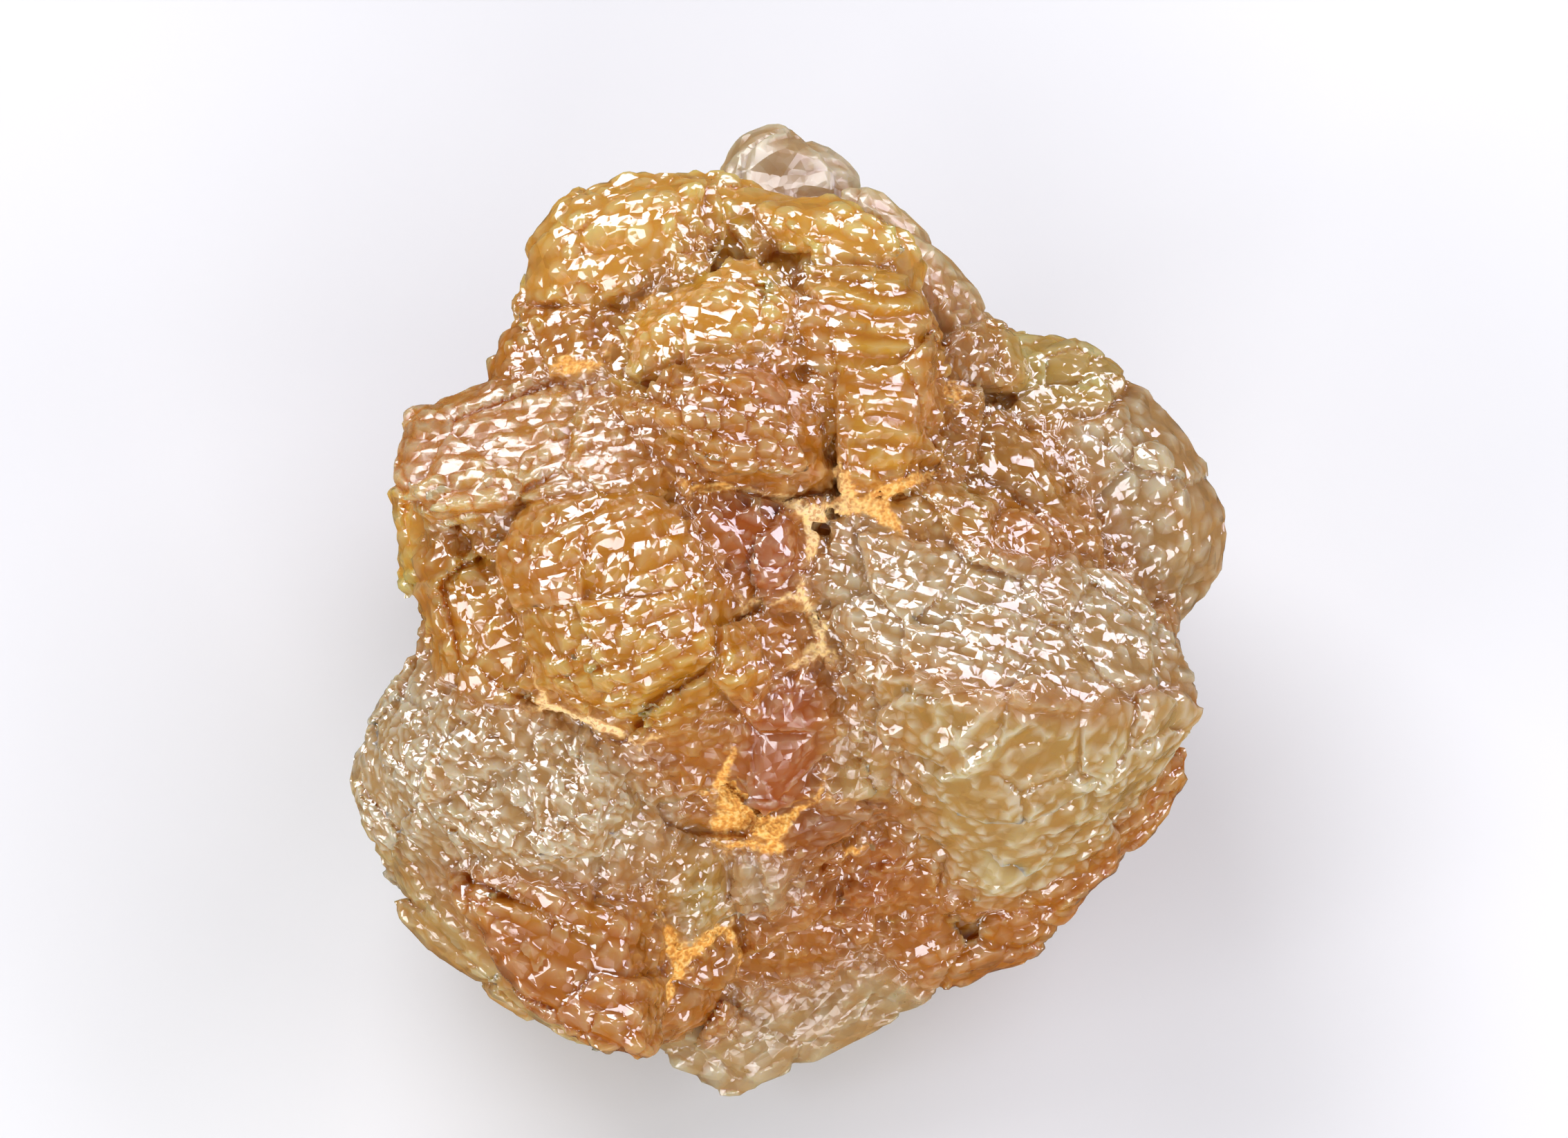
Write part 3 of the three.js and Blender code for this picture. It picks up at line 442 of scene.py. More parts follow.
def net(q, seed):
    """Scooped faces: hollows that meet in sharp crests, deeper in some places and gone in others."""
    warped = q + 0.5 * soft_noise(q * 0.7, seed + 8)[:, None]
    far, _, way, (a, b, _) = cells(warped, seed, 0.48)
    scoop = np.clip(far, 0, 0.8) ** 2 * 1.5
    patch = smoothstep(-0.25, 0.35, soft_noise(q * 0.45, seed + 9))
    return (scoop + 0.45 * (a - 0.5) * way[:, 0] + 0.6 * (b - 0.3) * way[:, 1]) * (0.25 + 0.9 * patch)


def crumbs(q, seed):
    """Crumbs: small knobs on rough noise."""
    return 0.6 * knobs(q * 1.3, seed) + 0.9 * rough_noise(q * 1.2, seed + 6, 3)


RELIEFS = {f.__name__: f for f in (scales, knobs, stairs, facets, steps, wrinkles, net, crumbs)}


# ---- Crystals ----


def ring_of(outline, top, slope, share, raised, index):
    """Corners in one plane: the outline drawn in to a share of its size round its middle, and raised."""
    outline = np.array(outline, float)
    middle = outline.mean(0)
    count = len(outline)
    jitter = UNEVEN if share < 1 else 0
    wobble = [[uneven(index, 2 * i), uneven(index, 2 * i + 1)] for i in range(count)]
    off = share * (outline - middle) + jitter * np.array(wobble)
    return np.column_stack([middle + off, top + raised + off @ np.array(slope, float)])


def crystal_corners(form, index):
    """All corners of a crystal of the face: its broad face or peaks, its outline, and its far end."""
    outline, top, slope = form["outline"], form["top"], form.get("slope", (0, 0))
    drop, share = form.get("drop", BEVEL_DROP), form.get("share", FACE_SHARE)
    peaks = form.get("peaks")
    face = np.array(peaks, float) if peaks else ring_of(outline, top, slope, share, 0, index)
    widest = ring_of(outline, top, slope, 1, 0 if peaks else -drop, index)
    back = ring_of(outline, top, slope, BACK_SHARE, -drop - form.get("depth", DEPTH), index)
    back[:, :2] -= BACK_DRAW * np.array(outline, float).mean(0)
    return np.vstack([face, widest, back])


def axes_of(facing, spin):
    """Three axes, one a row: z as given, x to the right as near as may be, turned by spin degrees."""
    z = np.array(facing, float) / np.linalg.norm(facing)
    x = np.array([1.0, 0, 0]) - z * z[0]
    if np.linalg.norm(x) < 0.5:
        x = np.array([0, 1.0, 0]) - z * z[1]
    x /= np.linalg.norm(x)
    turn = math.radians(spin)
    x = x * math.cos(turn) + np.cross(z, x) * math.sin(turn)
    return np.array([x, np.cross(z, x), z])


def side_corners(middle, half, axes, index):
    """The 24 corners of a side block: a box's corners, each pulled in along two axes for bevels."""
    points = []
    for signs in itertools.product((1, -1), repeat=3):
        for whole in range(3):
            share = [1 if k == whole else BEVEL_SHARE for k in range(3)]
            jitter = [1 + UNEVEN * uneven(index, 3 * len(points) + k) for k in range(3)]
            out = np.array(signs) * share * jitter * np.array(half)
            points.append(np.array(middle) + out @ axes)
    return np.array(points)


def hull_planes(points):
    """Planes of the smallest convex solid round some points: through three, with the rest behind."""
    a, b, c = points[np.array(list(itertools.combinations(range(len(points)), 3))).T]
    normal = np.cross(b - a, c - a)
    size = np.linalg.norm(normal, axis=1)
    good = size > 1e-6
    normal, a = normal[good] / size[good, None], a[good]
    side = points @ normal.T - (normal * a).sum(1)
    outward = side.max(0) < 1e-6
    inward = side.min(0) > -1e-6
    planes = np.vstack([normal[outward], -normal[inward]])
    reach = (points @ planes.T).max(0)
    _, keep = np.unique(np.column_stack([planes, reach]).round(2), axis=0, return_index=True)
    return planes[keep].astype(np.float32), reach[keep].astype(np.float32)


# How far the lips of each kind of relief lean out along the face, as a share of a unit normal.
LIPS = {"scales": 0.42, "stairs": 0.42, "steps": 0.32, "knobs": 0.3, "facets": 0.1}


class Crystal:
    """One convex crystal, with its planes, its box and the relief on it."""

    def __init__(self, name, points, axes, index):
        tint, kind, along, across, height, turn = FINISHES[name]
        self.name, self.lip = name, LIPS.get(kind, 0)
        self.planes, self.reach = hull_planes(points)
        self.low, self.high = points.min(0) - REACH, points.max(0) + REACH
        self.tint, self.relief, self.height, self.seed = tint, RELIEFS[kind], height, 31 * index + 5
        spin = math.radians(turn)
        row = axes[0] * math.cos(spin) + axes[1] * math.sin(spin)
        self.rows = np.array([row, np.cross(axes[2], row), axes[2]])
        self.spacing = np.array([along, across, 0.5 * (along + across)])

    def distance(self, points):
        """Distance to the rounded crystal: the soft largest, log of sum of exps, of its planes'."""
        past = points @ self.planes.T - self.reach
        top = past.max(1)
        near = np.flatnonzero(np.abs(top) < EDGE_REACH)
        past = past[near] - top[near, None]
        top[near] += np.log(np.exp(SHARPNESS * past).sum(1)) / SHARPNESS
        return top - SWELL

    def raised(self, points):
        """Growth relief at some points, as a share of its full height: weaker in places."""
        patch = smoothstep(-0.55, 0.25, soft_noise(points * 0.75, self.seed + 12))
        return self.relief(self.in_rows(points), self.seed) * (0.4 + 0.6 * patch)

    def in_rows(self, points):
        """Places counted in spacings along the rows, across them and out, in rows that waver."""
        waver = 0.35 * soft_noise(points * 0.8, self.seed + 11)
        waver += 0.16 * soft_noise(points * 2.1, self.seed + 13)
        return points @ self.rows.T / self.spacing + waver[:, None] * (0.6, 1, 0)


def grow_crystals():
    """Every crystal of the stone, in the order that numbers them."""
    made = []
    for name, form in FACE_CRYSTALS.items():
        made.append(Crystal(name, crystal_corners(form, len(made)), np.eye(3), len(made)))
    for name, (middle, half, facing, spin) in SIDE_BLOCKS.items():
        axes = axes_of(facing, spin)
        made.append(Crystal(name, side_corners(middle, half, axes, len(made)), axes, len(made)))
    return made


class Filling:
    """What fills the joints: the crystals' own distance, smoothed, so that it bridges the valleys.

    The coarse grid of distances is averaged with its neighbours, a quarter, a half and a quarter
    along each axis in turn, SMOOTHINGS times, and read between grid points by straight lines.
    """

    def __init__(self, low, coarse):
        self.low, self.grid, self.height = low, np.clip(coarse, -1, 1), FILL_HEIGHT
        for _ in range(SMOOTHINGS):
            for axis in range(3):
                ahead, behind = np.roll(self.grid, 1, axis), np.roll(self.grid, -1, axis)
                self.grid = 0.5 * self.grid + 0.25 * (ahead + behind)

    def distance(self, points):
        """Distance to the filling's surface."""
        q = np.clip((points - self.low) / COARSE_STEP, 0, np.array(self.grid.shape) - 1.001)
        base = np.floor(q).astype(int)
        t = q - base
        total = np.zeros(len(points), np.float32)
        for corner in itertools.product((0, 1), repeat=3):
            weight = np.prod([t[:, k] if corner[k] else 1 - t[:, k] for k in range(3)], 0)
            total += weight * self.grid[tuple((base + corner).T)]
        return total - FILL_OVER

    def raised(self, points):
        """Crumbly relief of the filling, as a share of its full height."""
        return crumbs(points / FILL_SPACING, 977)


def cluster(points, crystals, filling=None):
    """Distance to the whole stone: the soft least over its crystals, cut off flat below.

    The soft least is minus the log of the sum of exps of minus BLEND times each distance, over
    BLEND. With a filling, the filling is joined to it in the same way, the growth relief and the
    broad broken faces are taken off the distance, and cracks are added where two crystals are
    equally near. The relief is the mean of the crystals' and the filling's own, each weighted by
    exp of minus CHANGE times its distance. Also returns the nearest crystal's number, how much
    further the second is, how high the relief stands, as a share of its full height, and from 0
    to 1 how far the filling covers the place.
    """
    count = len(points)
    nearest, second = np.full((2, count), FAR, np.float32)
    owner, blended = np.zeros(count, np.int32), np.full(count, TINY, np.float32)
    reached = []
    for number, crystal in enumerate(crystals):
        near = np.flatnonzero(np.all((points > crystal.low) & (points < crystal.high), axis=1))
        if not len(near):
            continue
        far = crystal.distance(points[near])
        reached.append((crystal, near, far))
        blended[near] += np.exp(-BLEND * np.clip(far, -DEEP, DEEP))
        old = nearest[near]
        closer = far < old
        second[near] = np.where(closer, old, np.minimum(second[near], far))
        nearest[near] = np.where(closer, far, old)
        owner[near] = np.where(closer, number, owner[near])
    whole = np.where(nearest < DEEP, -np.log(blended) / BLEND, nearest)
    gap = second - nearest
    joint, height, share = np.zeros((3, count), np.float32)
    if filling:
        weight = np.full(count, TINY, np.float32)
        between = filling.distance(points)
        edge = np.minimum(nearest, between)
        at = np.flatnonzero(between < edge + CLOSE)
        parts = [(filling, at, between[at])]
        for crystal, near, far in reached:
            close = far < edge[near] + CLOSE
            parts.append((crystal, near[close], far[close]))
        for part, at, far in parts:
            pull = np.exp(-CHANGE * (far - edge[at]))
            rise = part.raised(points[at])
            height[at] += pull * rise * part.height
            share[at] += pull * rise
            weight[at] += pull
        height, share = height / weight, share / weight
        joint = smoothstep(*JOINT_EDGE, nearest - between)
        apart = np.abs(whole - between)
        whole = np.minimum(whole, between) - np.log(1 + np.exp(-FILL_BLEND * apart)) / FILL_BLEND
        whole = whole - height - BROAD_HEIGHT * facets(points / BROAD_SPACING, 55)
        whole = whole + CRACK * np.exp(-((gap / CRACK_WIDTH) ** 2)) * (1 - joint)
    floor = -(points[:, 1] * math.sin(LEAN) + points[:, 2] * math.cos(LEAN)) - BASE_DEPTH
    return np.maximum(whole, floor), owner, gap, share, joint


# ---- The surface ----


def grid_points(low, count, step):
    """The points of a regular grid, in order."""
    index = np.indices(count).reshape(3, -1).T
    return (low + step * index).astype(np.float32)


def refined(field, old_step, shape, step):
    """The same field on a finer grid, read between the old grid's points by straight lines."""
    for axis in range(3):
        place = np.arange(shape[axis]) * step / old_step
        base = np.minimum(place.astype(int), field.shape[axis] - 2)
        share = (place - base).reshape([-1 if k == axis else 1 for k in range(3)]).astype(np.float32)
        field = np.take(field, base, axis) * (1 - share) + np.take(field, base + 1, axis) * share
    return field


def stone_field(crystals, low, high):
    """The stone's distance on a fine grid, worked out in ever narrower bands round the surface."""
    count = tuple(np.ceil((high - low) / COARSE_STEP).astype(int) + 2)
    coarse = cluster(grid_points(low, count, COARSE_STEP), crystals)[0].reshape(count)
    filling = Filling(low, coarse)
    field = np.minimum(coarse, filling.grid - FILL_OVER).astype(np.float32)
    old_step = COARSE_STEP
    for step, band in ((MIDDLE_STEP, BAND), (GRID_STEP, NEAR)):
        shape = np.ceil((high - low) / step).astype(int) + 1
        field = refined(field, old_step, shape, step)
        near = np.argwhere(np.abs(field) < band)
        places = (low + step * near).astype(np.float32)
        field[tuple(near.T)] = cluster(places, crystals, filling)[0]
        old_step = step
    return field, filling


def net_surface(field):
    """Surface nets: one corner for each grid cell that the surface crosses, one quad for each edge.

    A corner is the mean of the places where the surface cuts the edges of its cell, each found by
    a straight line between the distances at the edge's ends.
    """
    stride = np.array([field.shape[1] * field.shape[2], field.shape[2], 1])
    places, quads = [], []
    for axis in range(3):
        low, high = [slice(None)] * 3, [slice(None)] * 3
        low[axis], high[axis] = slice(0, -1), slice(1, None)
        a, b = field[tuple(low)], field[tuple(high)]
        cut = np.argwhere((a < 0) != (b < 0))
        start, end = a[tuple(cut.T)], b[tuple(cut.T)]
        place = cut.astype(float)
        place[:, axis] += start / (start - end)
        u, v = stride[(axis + 1) % 3], stride[(axis + 2) % 3]
        at = cut @ stride
        corner = np.stack([at, at - u, at - u - v, at - v], 1)
        corner[start > 0] = corner[start > 0][:, ::-1]
        places.append(place)
        quads.append(corner)
    places, quads = np.vstack(places), np.vstack(quads)
    used, quads = np.unique(quads, return_inverse=True)
    quads = quads.reshape(-1, 4)
    total = np.zeros((len(used), 4))
    for k in range(4):
        for row in range(3):
            total[:, row] += np.bincount(quads[:, k], places[:, row], len(used))
        total[:, 3] += np.bincount(quads[:, k], minlength=len(used))
    return total[:, :3] / total[:, 3:], quads


def largest_piece(corners, quads):
    """The largest connected surface: corners pass on the lowest number near them until none changes."""
    label = np.arange(len(corners))
    while True:
        before = label.copy()
        least = label[quads].min(1)
        for k in range(4):
            np.minimum.at(label, quads[:, k], least)
        label = label[label]
        if np.array_equal(label, before):
            break
    names, sizes = np.unique(label, return_counts=True)
    keep = label == names[sizes.argmax()]
    number = np.cumsum(keep) - 1
    return corners[keep], number[quads[keep[quads[:, 0]]]]


def settle(corners, low, field, crystals, filling):
    """Moves each corner onto the surface: back along the slope of the distance, by distance over slope.

    The slope is half the difference between the grid's values on either side, over its spacing.
    """
    points = (low + GRID_STEP * corners).astype(np.float32)
    here = cluster(points, crystals, filling)[0]
    at = np.clip(np.rint(corners).astype(int), 1, np.array(field.shape) - 2)
    ways = np.eye(3, dtype=int)
    slope = np.stack([field[tuple((at + w).T)] - field[tuple((at - w).T)] for w in ways], 1)
    slope = slope / (2 * GRID_STEP)
    move = slope * (here / np.maximum((slope * slope).sum(1), 0.3))[:, None]
    length = np.linalg.norm(move, axis=1)
    move *= np.minimum(1, 0.5 * GRID_STEP / np.maximum(length, 1e-6))[:, None]
    return (points - move).astype(np.float32)


def to_part(points):
    """Millimetres in the face's frame to metres in the part's frame: leaned back, moved and scaled."""
    c, s = math.cos(LEAN), math.sin(LEAN)
    x, y, z = points.T
    return MM * (np.column_stack([x, y * c - z * s, y * s + z * c]) + np.array(STAND))


# ---- Shader maths ----


class Wire:
    """A number on its way between shader nodes; the operators on it add Math nodes."""

    def __init__(self, nodes, socket):
        self.nodes, self.socket = nodes, socket

    def _math(self, operation, first, second):
        return self.nodes.node("ShaderNodeMath", dict(operation=operation), {0: first, 1: second})

    def __add__(self, other):
        return self._math("ADD", self, other)

    __radd__ = __add__

    def __sub__(self, other):
        return self._math("SUBTRACT", self, other)

    def __mul__(self, other):
        return self._math("MULTIPLY", self, other)

    __rmul__ = __mul__


class Nodes:
    """A material's nodes, added one call at a time."""

    def __init__(self, name):
        self.material = bpy.data.materials.new(name)
        self.material.use_nodes = True
        self.tree = self.material.node_tree
        self.tree.nodes.clear()

    def node(self, kind, settings=None, sockets=None, out=0):
        """A node of some kind with its settings, then its sockets' values or links; gives output out."""
        made = self.tree.nodes.new(kind)
        for key, value in (settings or {}).items():
            setattr(made, key, value)
        for key, value in (sockets or {}).items():
            self.put(made, key, value)
        return Wire(self, made.outputs[out])

    def put(self, made, key, value):
        """Sets or links one socket of a node."""
        socket = made.inputs[key]
        if isinstance(value, Wire):
            self.tree.links.new(value.socket, socket)
        else:
            socket.default_value = value

    def mixed(self, share, first, second, blend="MIX"):
        """Two colours mixed by a share from 0, all of the first, to 1, all of the second."""
        settings = dict(data_type="RGBA", blend_type=blend, clamp_factor=True)
        return self.node("ShaderNodeMix", settings, {0: share, 6: first, 7: second}, 2)

    def step(self, value, low, high):
        """0 where a value is below low, 1 above high, smoothly between."""
        settings = dict(interpolation_type="SMOOTHSTEP")
        return self.node("ShaderNodeMapRange", settings, {0: value, 1: low, 2: high, 3: 0.0, 4: 1.0})

    def vector(self, operation, *values):
        """A Vector Math node."""
        return self.node("ShaderNodeVectorMath", dict(operation=operation), dict(enumerate(values)))

    def attribute(self, name, out=2):
        """What a mesh holds on its corners under a name: output 0 is a colour, 1 a vector, 2 a number."""
        return self.node("ShaderNodeAttribute", dict(attribute_name=name), out=out)

    def faces(self, where, scale, tilt):
        """A tilt for each of many small flat faces: a random way for each cell, up to a tilt."""
        sockets = {"Vector": where, "Scale": scale}
        colour = self.node("ShaderNodeTexVoronoi", dict(feature="F1"), sockets, 1)
        return self.vector("MULTIPLY_ADD", colour, (2 * tilt,) * 3, (-tilt,) * 3)

    def noise(self, where, scale, detail, roughness=0.55):
        """Fractal noise from 0 to 1, scale lumps to a unit of the place."""
        sockets = {"Vector": where, "Scale": scale, "Detail": detail, "Roughness": roughness}
        return self.node("ShaderNodeTexNoise", None, sockets)

    def finished(self, surface, volume=None):
        """The material, with its surface and volume linked to its output."""
        end = self.tree.nodes.new("ShaderNodeOutputMaterial")
        self.put(end, "Surface", surface)
        if volume:
            self.put(end, "Volume", volume)
        return self.material


def linear(colour):
    """A colour as seen on a screen as the amounts of light that shaders use."""
    return tuple(c / 12.92 if c <= 0.04045 else ((c + 0.055) / 1.055) ** 2.4 for c in colour)


def rgba(colour):
    """The same, with an alpha of 1."""
    return (*linear(colour), 1.0)


# ---- Materials ----

ABSORPTION_TINT = (0.90, 0.66, 0.12)  # share of each colour that a thick piece lets through
ABSORPTION_DENSITY = 130  # per metre
REFRACTION = 2.42  # of diamond
CLOUDY_TINT = (0.96, 0.84, 0.62)  # what the tint is multiplied by where the crystal is cloudy
HOLLOW_SHADE_TINT = (0.93, 0.79, 0.52)  # and in the hollows of its relief, as painted shade
# Painted highlight: the pale colour laid on the crests of the relief, as if they caught the light.
CREST_HIGHLIGHT_COLOUR = (0.95, 0.91, 0.80)
JOINT_COLOUR = (0.76, 0.49, 0.20)
SPECK_COLOUR = (0.95, 0.84, 0.62)
POWDER_COLOUR = (0.86, 0.62, 0.28)
CREAM_COLOUR = (0.90, 0.80, 0.60)
PALE_GRAIN = (0.95, 0.80, 0.50)
DARK_GRAIN = (0.70, 0.42, 0.16)
ROUNDED = 0.45  # share of the smooth normal in the way that the skin faces; flat faces have the rest
LIP_REST = 0.2  # how far the skin leans back where it has no lip
FACE_TILT, FINE_TILT = 0.3, 0.18  # most that small faces are tilted, and fine ones


def diamond_material():
    """Honey-coloured diamond: clear to cloudy crystal under a bright wet-looking skin.

    Powdery stain and pale veins lie in its cracks. The skin's small faces tilt its normals: it faces
    the sum of its smooth normal, its flat normal, a lean where a row has its lip and two random
    tilts, one for each cell of the rows and one for each finer cell of the place.
    """
    n = Nodes("diamond")
    place = n.vector("MULTIPLY", n.node("ShaderNodeTexCoord", out=3), (1 / MM,) * 3)
    rows, across, tint = n.attribute("rows", 1), n.attribute("across", 1), n.attribute("tint", 0)
    rise, crest, dull = n.attribute("rise"), n.attribute("crest"), n.attribute("dull")
    ochre, cream, joint = n.attribute("ochre"), n.attribute("cream"), n.attribute("joint")

    clouds = n.noise(place, 0.55, 0.0)  # lumps 2 mm across
    specks = n.noise(place, 4.5, 2.0, 0.7)  # lumps 0.2 mm across and finer
    body = n.mixed(0.35 * n.step(clouds, 0.35, 0.7), tint, rgba(CLOUDY_TINT), "MULTIPLY")
    # Painted shade: the tint is darkened in the low parts of the relief.
    body = n.mixed(0.8 * n.step(rise, 0.6, 0.05), body, rgba(HOLLOW_SHADE_TINT), "MULTIPLY")
    # Painted highlight: crests of the relief are turned pale as if lit.
    body = n.mixed(0.7 * crest, body, rgba(CREST_HIGHLIGHT_COLOUR))
    body = n.mixed(0.5 * joint, body, rgba(JOINT_COLOUR))
    body = n.mixed(0.20 * n.step(specks, 0.6, 0.75), body, rgba(SPECK_COLOUR))

    row = n.node("ShaderNodeSeparateXYZ", None, {0: rows}, 1)
    part = n.node("ShaderNodeMath", dict(operation="FRACT"), {0: row})
    lip = n.step(part, 0.5, 0.62) * n.step(specks, 0.3, 0.4) - LIP_REST
    rounded = n.vector("MULTIPLY", n.node("ShaderNodeNewGeometry", out=1), (ROUNDED,) * 3)
    crisp = n.vector("MULTIPLY", n.node("ShaderNodeNewGeometry", out=3), (1 - ROUNDED,) * 3)
    tipped = n.vector("MULTIPLY", across, n.node("ShaderNodeCombineXYZ", None, {0: lip, 1: lip, 2: lip}))
    facing = n.vector("ADD", n.vector("ADD", rounded, crisp), tipped)
    facing = n.vector("ADD", facing, n.faces(rows, 1.2, FACE_TILT))
    facing = n.vector("ADD", facing, n.faces(place, 4.5, FINE_TILT))
    facing = n.vector("NORMALIZE", facing)

    stone = n.node("ShaderNodeBsdfPrincipled", None, {
        "Base Color": body,
        "Roughness": 0.06 + 0.12 * specks + 0.30 * dull,
        "IOR": REFRACTION,
        "Transmission Weight": 0.42,
        "Subsurface Weight": 0.7,
        "Subsurface Radius": (1.0, 0.7, 0.3),
        "Subsurface Scale": 0.6 * MM,
        "Normal": facing,
    })

    grain = n.noise(place, 12.0, 1.0, 0.75)
    dust = n.mixed(cream, rgba(POWDER_COLOUR), rgba(CREAM_COLOUR))
    dust = n.mixed(0.6 * n.step(grain, 0.5, 0.62), dust, rgba(PALE_GRAIN))
    dust = n.mixed(0.6 * n.step(grain, 0.48, 0.36), dust, rgba(DARK_GRAIN))
    bump = n.node("ShaderNodeBump", None, {"Strength": 0.8, "Distance": 0.08 * MM, "Height": grain})
    powder = n.node("ShaderNodeBsdfPrincipled", None, {
        "Base Color": dust, "Roughness": 0.75, "Normal": bump,
    })
    covered = (ochre + cream) * (0.25 + 1.5 * specks)
    whole = n.node("ShaderNodeMixShader", None, {0: n.step(covered, 0.45, 0.8), 1: stone, 2: powder})
    depth = n.node("ShaderNodeVolumeAbsorption", None, {
        "Color": (*ABSORPTION_TINT, 1.0), "Density": ABSORPTION_DENSITY,
    })
    return n.finished(whole, depth)


def floor_material():
    """Pale matte floor with the faintest unevenness."""
    n = Nodes("pale_floor")
    place = n.node("ShaderNodeTexCoord", out=3)
    shade = n.mixed(n.noise(place, 10.0, 2.0), rgba((0.81, 0.815, 0.815)), rgba((0.82, 0.825, 0.825)))
    paper = n.node("ShaderNodeBsdfPrincipled", None, {
        "Base Color": shade, "Roughness": 0.85, "Specular IOR Level": 0.2,
    })
    return n.finished(paper)


# ---- The pieces ----


def placed(name, data):
    """A new object in the scene, which shows a mesh, a light or a camera."""
    made = bpy.data.objects.new(name, data)
    bpy.context.scene.collection.objects.link(made)
    return made


def decimated(corners, quads, most):
    """The surface as triangles, with no more of them than asked: edges that matter least go first."""
    mesh = bpy.data.meshes.new("raw_stone")
    mesh.from_pydata(corners.tolist(), [], quads.tolist())
    piece = placed("raw_stone", mesh)
    if 2 * len(quads) > most:
        thin = piece.modifiers.new("thin", "DECIMATE")
        thin.ratio = most / (2 * len(quads))
        thin.use_collapse_triangulate = True
    made = bpy.data.meshes.new_from_object(piece.evaluated_get(bpy.context.evaluated_depsgraph_get()))
    bpy.data.objects.remove(piece)
    bpy.data.meshes.remove(mesh)
    return made


def stains_at(points):
    """How thick ochre powder and cream veins lie: the most that any stain lays down.

    A stain lays down its strength times exp of minus d^2, where d is the distance over its radius,
    and less on what lies below the middle of the face.
    """
    laid = {"ochre": np.zeros(len(points)), "cream": np.zeros(len(points))}
    for x, y, radius, strength, kind in STAINS:
        away = ((points[:, 0] - x) ** 2 + (points[:, 1] - y) ** 2) / radius**2
        front = smoothstep(-1.0, 1.0, points[:, 2])
        laid[kind] = np.maximum(laid[kind], strength * np.exp(-away) * front)
    return laid


def put_attribute(mesh, name, values):
    """A number, a vector or a colour on every corner of a mesh: one, three or four columns."""
    kinds = {1: ("FLOAT", "value"), 3: ("FLOAT_VECTOR", "vector"), 4: ("FLOAT_COLOR", "color")}
    kind, field = kinds[values.size // len(values)]
    made = mesh.attributes.new(name, kind, "POINT")
    made.data.foreach_set(field, values.astype(np.float32).ravel())


def edge_ends(mesh):
    """The corners at the two ends of each edge of a mesh."""
    edges = np.zeros(2 * len(mesh.edges), np.int32)
    mesh.edges.foreach_get("vertices", edges)
    return edges.reshape(-1, 2).T


def seeped(mesh, values):
    """Values on the corners of a mesh, blended: averaged with their neighbours' SEEPINGS times."""
    one, other = edge_ends(mesh)
    count = len(mesh.vertices)
    neighbours = np.bincount(one, minlength=count) + np.bincount(other, minlength=count)
    values = values.copy()
    for _ in range(SEEPINGS):
        for column in values.T:
            total = np.bincount(one, column[other], count) + np.bincount(other, column[one], count)
            column += SEEP_SHARE * (total / neighbours - column)
    return values


def read_corners(mesh, what):
    """The places (co) or normals (normal) of a mesh's corners."""
    values = np.zeros(3 * len(mesh.vertices), np.float32)
    mesh.vertices.foreach_get(what, values)
    return values.reshape(-1, 3)


def standing_out(mesh):
    """How far each corner of a mesh stands out along its normal from the mean of its neighbours.

    It is told in the mean length of the edges that meet there: 0 on a flat, more on a crest.
    """
    one, other = edge_ends(mesh)
    points, normals = read_corners(mesh, "co"), read_corners(mesh, "normal")
    count = len(points)
    away = points[other] - points[one]
    total = np.zeros((count, 3))
    for axis in range(3):
        total[:, axis] = np.bincount(other, away[:, axis], count) - np.bincount(one, away[:, axis], count)
    length = np.sqrt((away**2).sum(1))
    lengths = np.bincount(one, length, count) + np.bincount(other, length, count)
    return (total * normals).sum(1) / lengths


def make_stone():
    """The stone: a surface drawn from the distance field, settled on it, and marked for its finish."""
    crystals = grow_crystals()
    low = np.min([c.low for c in crystals], 0) + REACH - MARGIN
    high = np.max([c.high for c in crystals], 0) - REACH + MARGIN
    field, filling = stone_field(crystals, low, high)
    corners, quads = largest_piece(*net_surface(field))
    corners = settle(corners, low, field, crystals, filling)
    mesh = decimated(corners, quads, MOST_TRIANGLES)

    points = read_corners(mesh, "co")
    _, owner, gap, height, joint = cluster(points, crystals, filling)
    rows, across = np.zeros((2, len(points), 3))
    for number, crystal in enumerate(crystals):
        mine = owner == number
        rows[mine], across[mine] = crystal.in_rows(points[mine]), crystal.lip * crystal.rows[1]
    look = np.array([(*linear(TINTS[c.tint]), DULLNESS.get(c.name, 0)) for c in crystals])
    look = seeped(mesh, look[owner])
    vein = np.exp(-((gap / VEIN_WIDTH) ** 2))
    # Painted highlight: how strongly each corner's crest is painted pale, from how far it stands out.
    painted_crest_highlights = np.array([CREST_HIGHLIGHTS.get(c.name, OTHER_CREST_HIGHLIGHTS) for c in crystals])[owner]
    marks = {
        "rows": rows,
        "across": (to_part(across) - to_part(np.zeros((1, 3)))) / MM,
        "tint": np.column_stack([look[:, :3], np.ones(len(look))]),
        "dull": look[:, 3],
        "joint": np.maximum(joint, vein),
        "rise": np.clip(height, 0, 1),
        "crest": painted_crest_highlights * smoothstep(CREST_START, CREST_END, standing_out(mesh)),
    }
    for kind, laid in stains_at(points).items():
        marks[kind] = laid * (0.12 + 0.85 * vein + 0.3 * joint)
    for name, values in marks.items():
        put_attribute(mesh, name, values)
    mesh.vertices.foreach_set("co", to_part(points).astype(np.float32).ravel())
    mesh.polygons.foreach_set("use_smooth", np.ones(len(mesh.polygons), bool))
    mesh.update()
    mesh.name = "diamond_cluster"
    mesh.materials.append(diamond_material())
    return placed("diamond_cluster", mesh)


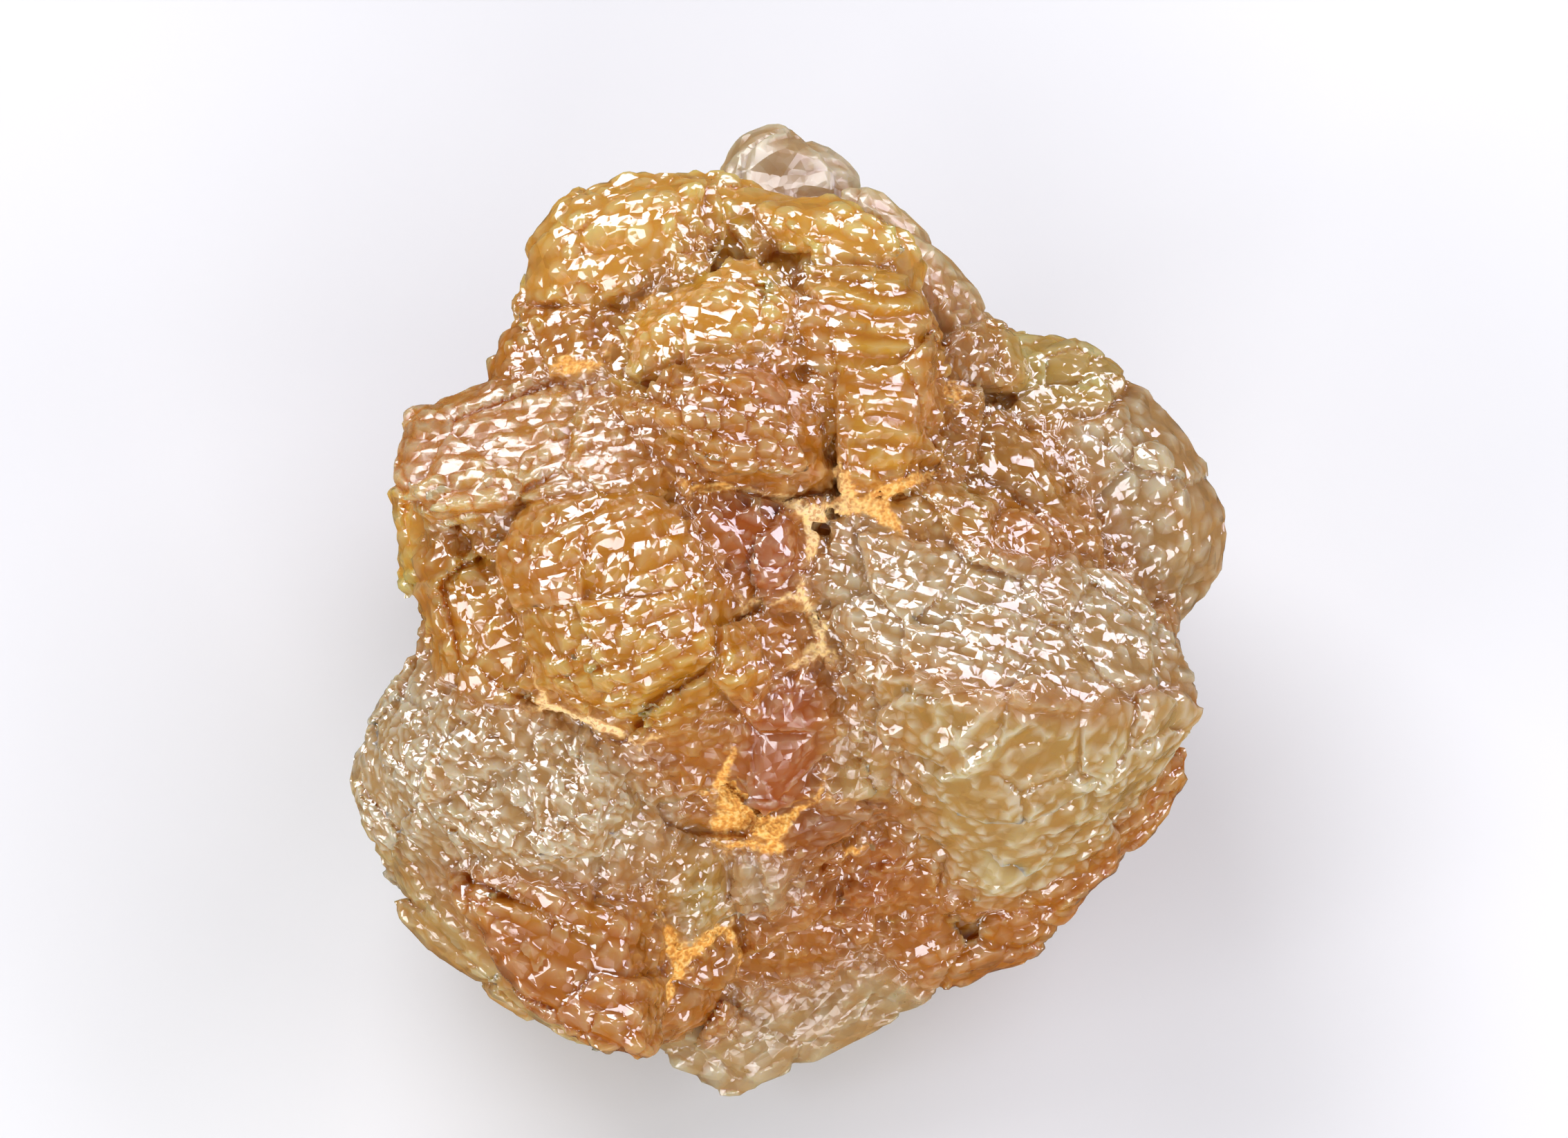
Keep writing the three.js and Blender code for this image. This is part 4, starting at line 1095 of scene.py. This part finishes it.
def make_floor():
    """A flat floor, one metre each way from the middle, that the stone doesn't mirror."""
    mesh = bpy.data.meshes.new("floor")
    mesh.from_pydata([(-1, -1, 0), (1, -1, 0), (1, 1, 0), (-1, 1, 0)], [], [(0, 1, 2, 3)])
    mesh.materials.append(floor_material())
    floor = placed("floor", mesh)
    floor.visible_glossy = False
    return floor


CAMERA_AT = (-0.032, 0.524, 150.0)  # in the face's frame, in millimetres
VIEW_WIDTH = 24.03  # millimetres across the view, in the plane of the face's middle
SENSOR = 36  # width of the camera's sensor, in millimetres


def make_camera():
    """The camera: square on to the stone's face, as a long lens sees it."""
    lens = bpy.data.cameras.new("camera")
    lens.lens, lens.sensor_width = SENSOR * CAMERA_AT[2] / VIEW_WIDTH, SENSOR
    lens.clip_start, lens.clip_end = 0.005, 5
    camera = placed("camera", lens)
    camera.location = to_part(np.array([CAMERA_AT]))[0]
    camera.rotation_euler = (LEAN, 0, 0)
    bpy.context.scene.camera = camera


AIM = (0, 0, 4.5)  # the place that lights are turned to, in millimetres in the part's frame
NEUTRAL = (1.0, 0.98, 0.99)  # colour of the lights that only fill shadows


def softbox(name, place, size, power, colour, mirrored=True):
    """A square light at a place in millimetres, turned to the stone; mirrored, it shows in gloss."""
    light = bpy.data.lights.new(name, "AREA")
    light.shape, light.size, light.energy, light.color = "SQUARE", size * MM, power, colour
    lamp = placed(name, light)
    lamp.location = MM * np.array(place, float)
    aim = np.array(AIM) * MM - np.array(lamp.location)
    lamp.rotation_mode = "QUATERNION"
    lamp.rotation_quaternion = mathutils.Vector(aim).to_track_quat("-Z", "Y")
    lamp.visible_glossy = mirrored


def light_stage():
    """Soft light: a key behind on the left, weaker ones round it, and a dim even room.

    Sizes are in millimetres and powers in watts.
    """
    softbox("key", (-130, 200, 200), 230, 0.99, (0.965, 0.955, 1.0))
    softbox("right_glint", (190, 150, 150), 190, 0.53, (0.90, 0.87, 1.0))
    softbox("left_glint", (-200, -120, 120), 160, 0.33, (0.97, 0.95, 1.0))
    softbox("low_glint", (170, -190, 120), 120, 0.18, (0.95, 0.93, 1.0))
    softbox("right_fill", (240, -60, 150), 160, 0.32, NEUTRAL, False)
    softbox("front_fill", (20, -270, 110), 170, 0.66, NEUTRAL, False)
    softbox("left_fill", (-250, -20, 130), 150, 0.14, NEUTRAL, False)
    world = bpy.data.worlds.new("room")
    bpy.context.scene.world = world
    world.use_nodes = True
    room = world.node_tree.nodes["Background"]
    room.inputs["Color"].default_value = (0.93, 0.93, 1.0, 1)
    room.inputs["Strength"].default_value = 0.085
    bpy.context.scene.view_settings.view_transform = "Standard"


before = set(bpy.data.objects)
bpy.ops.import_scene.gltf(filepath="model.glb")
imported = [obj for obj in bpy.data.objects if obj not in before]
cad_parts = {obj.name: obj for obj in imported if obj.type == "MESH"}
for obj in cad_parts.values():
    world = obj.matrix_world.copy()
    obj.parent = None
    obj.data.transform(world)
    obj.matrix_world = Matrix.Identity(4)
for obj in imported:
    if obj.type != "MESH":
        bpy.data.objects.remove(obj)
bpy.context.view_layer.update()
stone = make_stone()
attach(stone, "root")
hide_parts("rough_diamond")
make_floor()
make_camera()
light_stage()
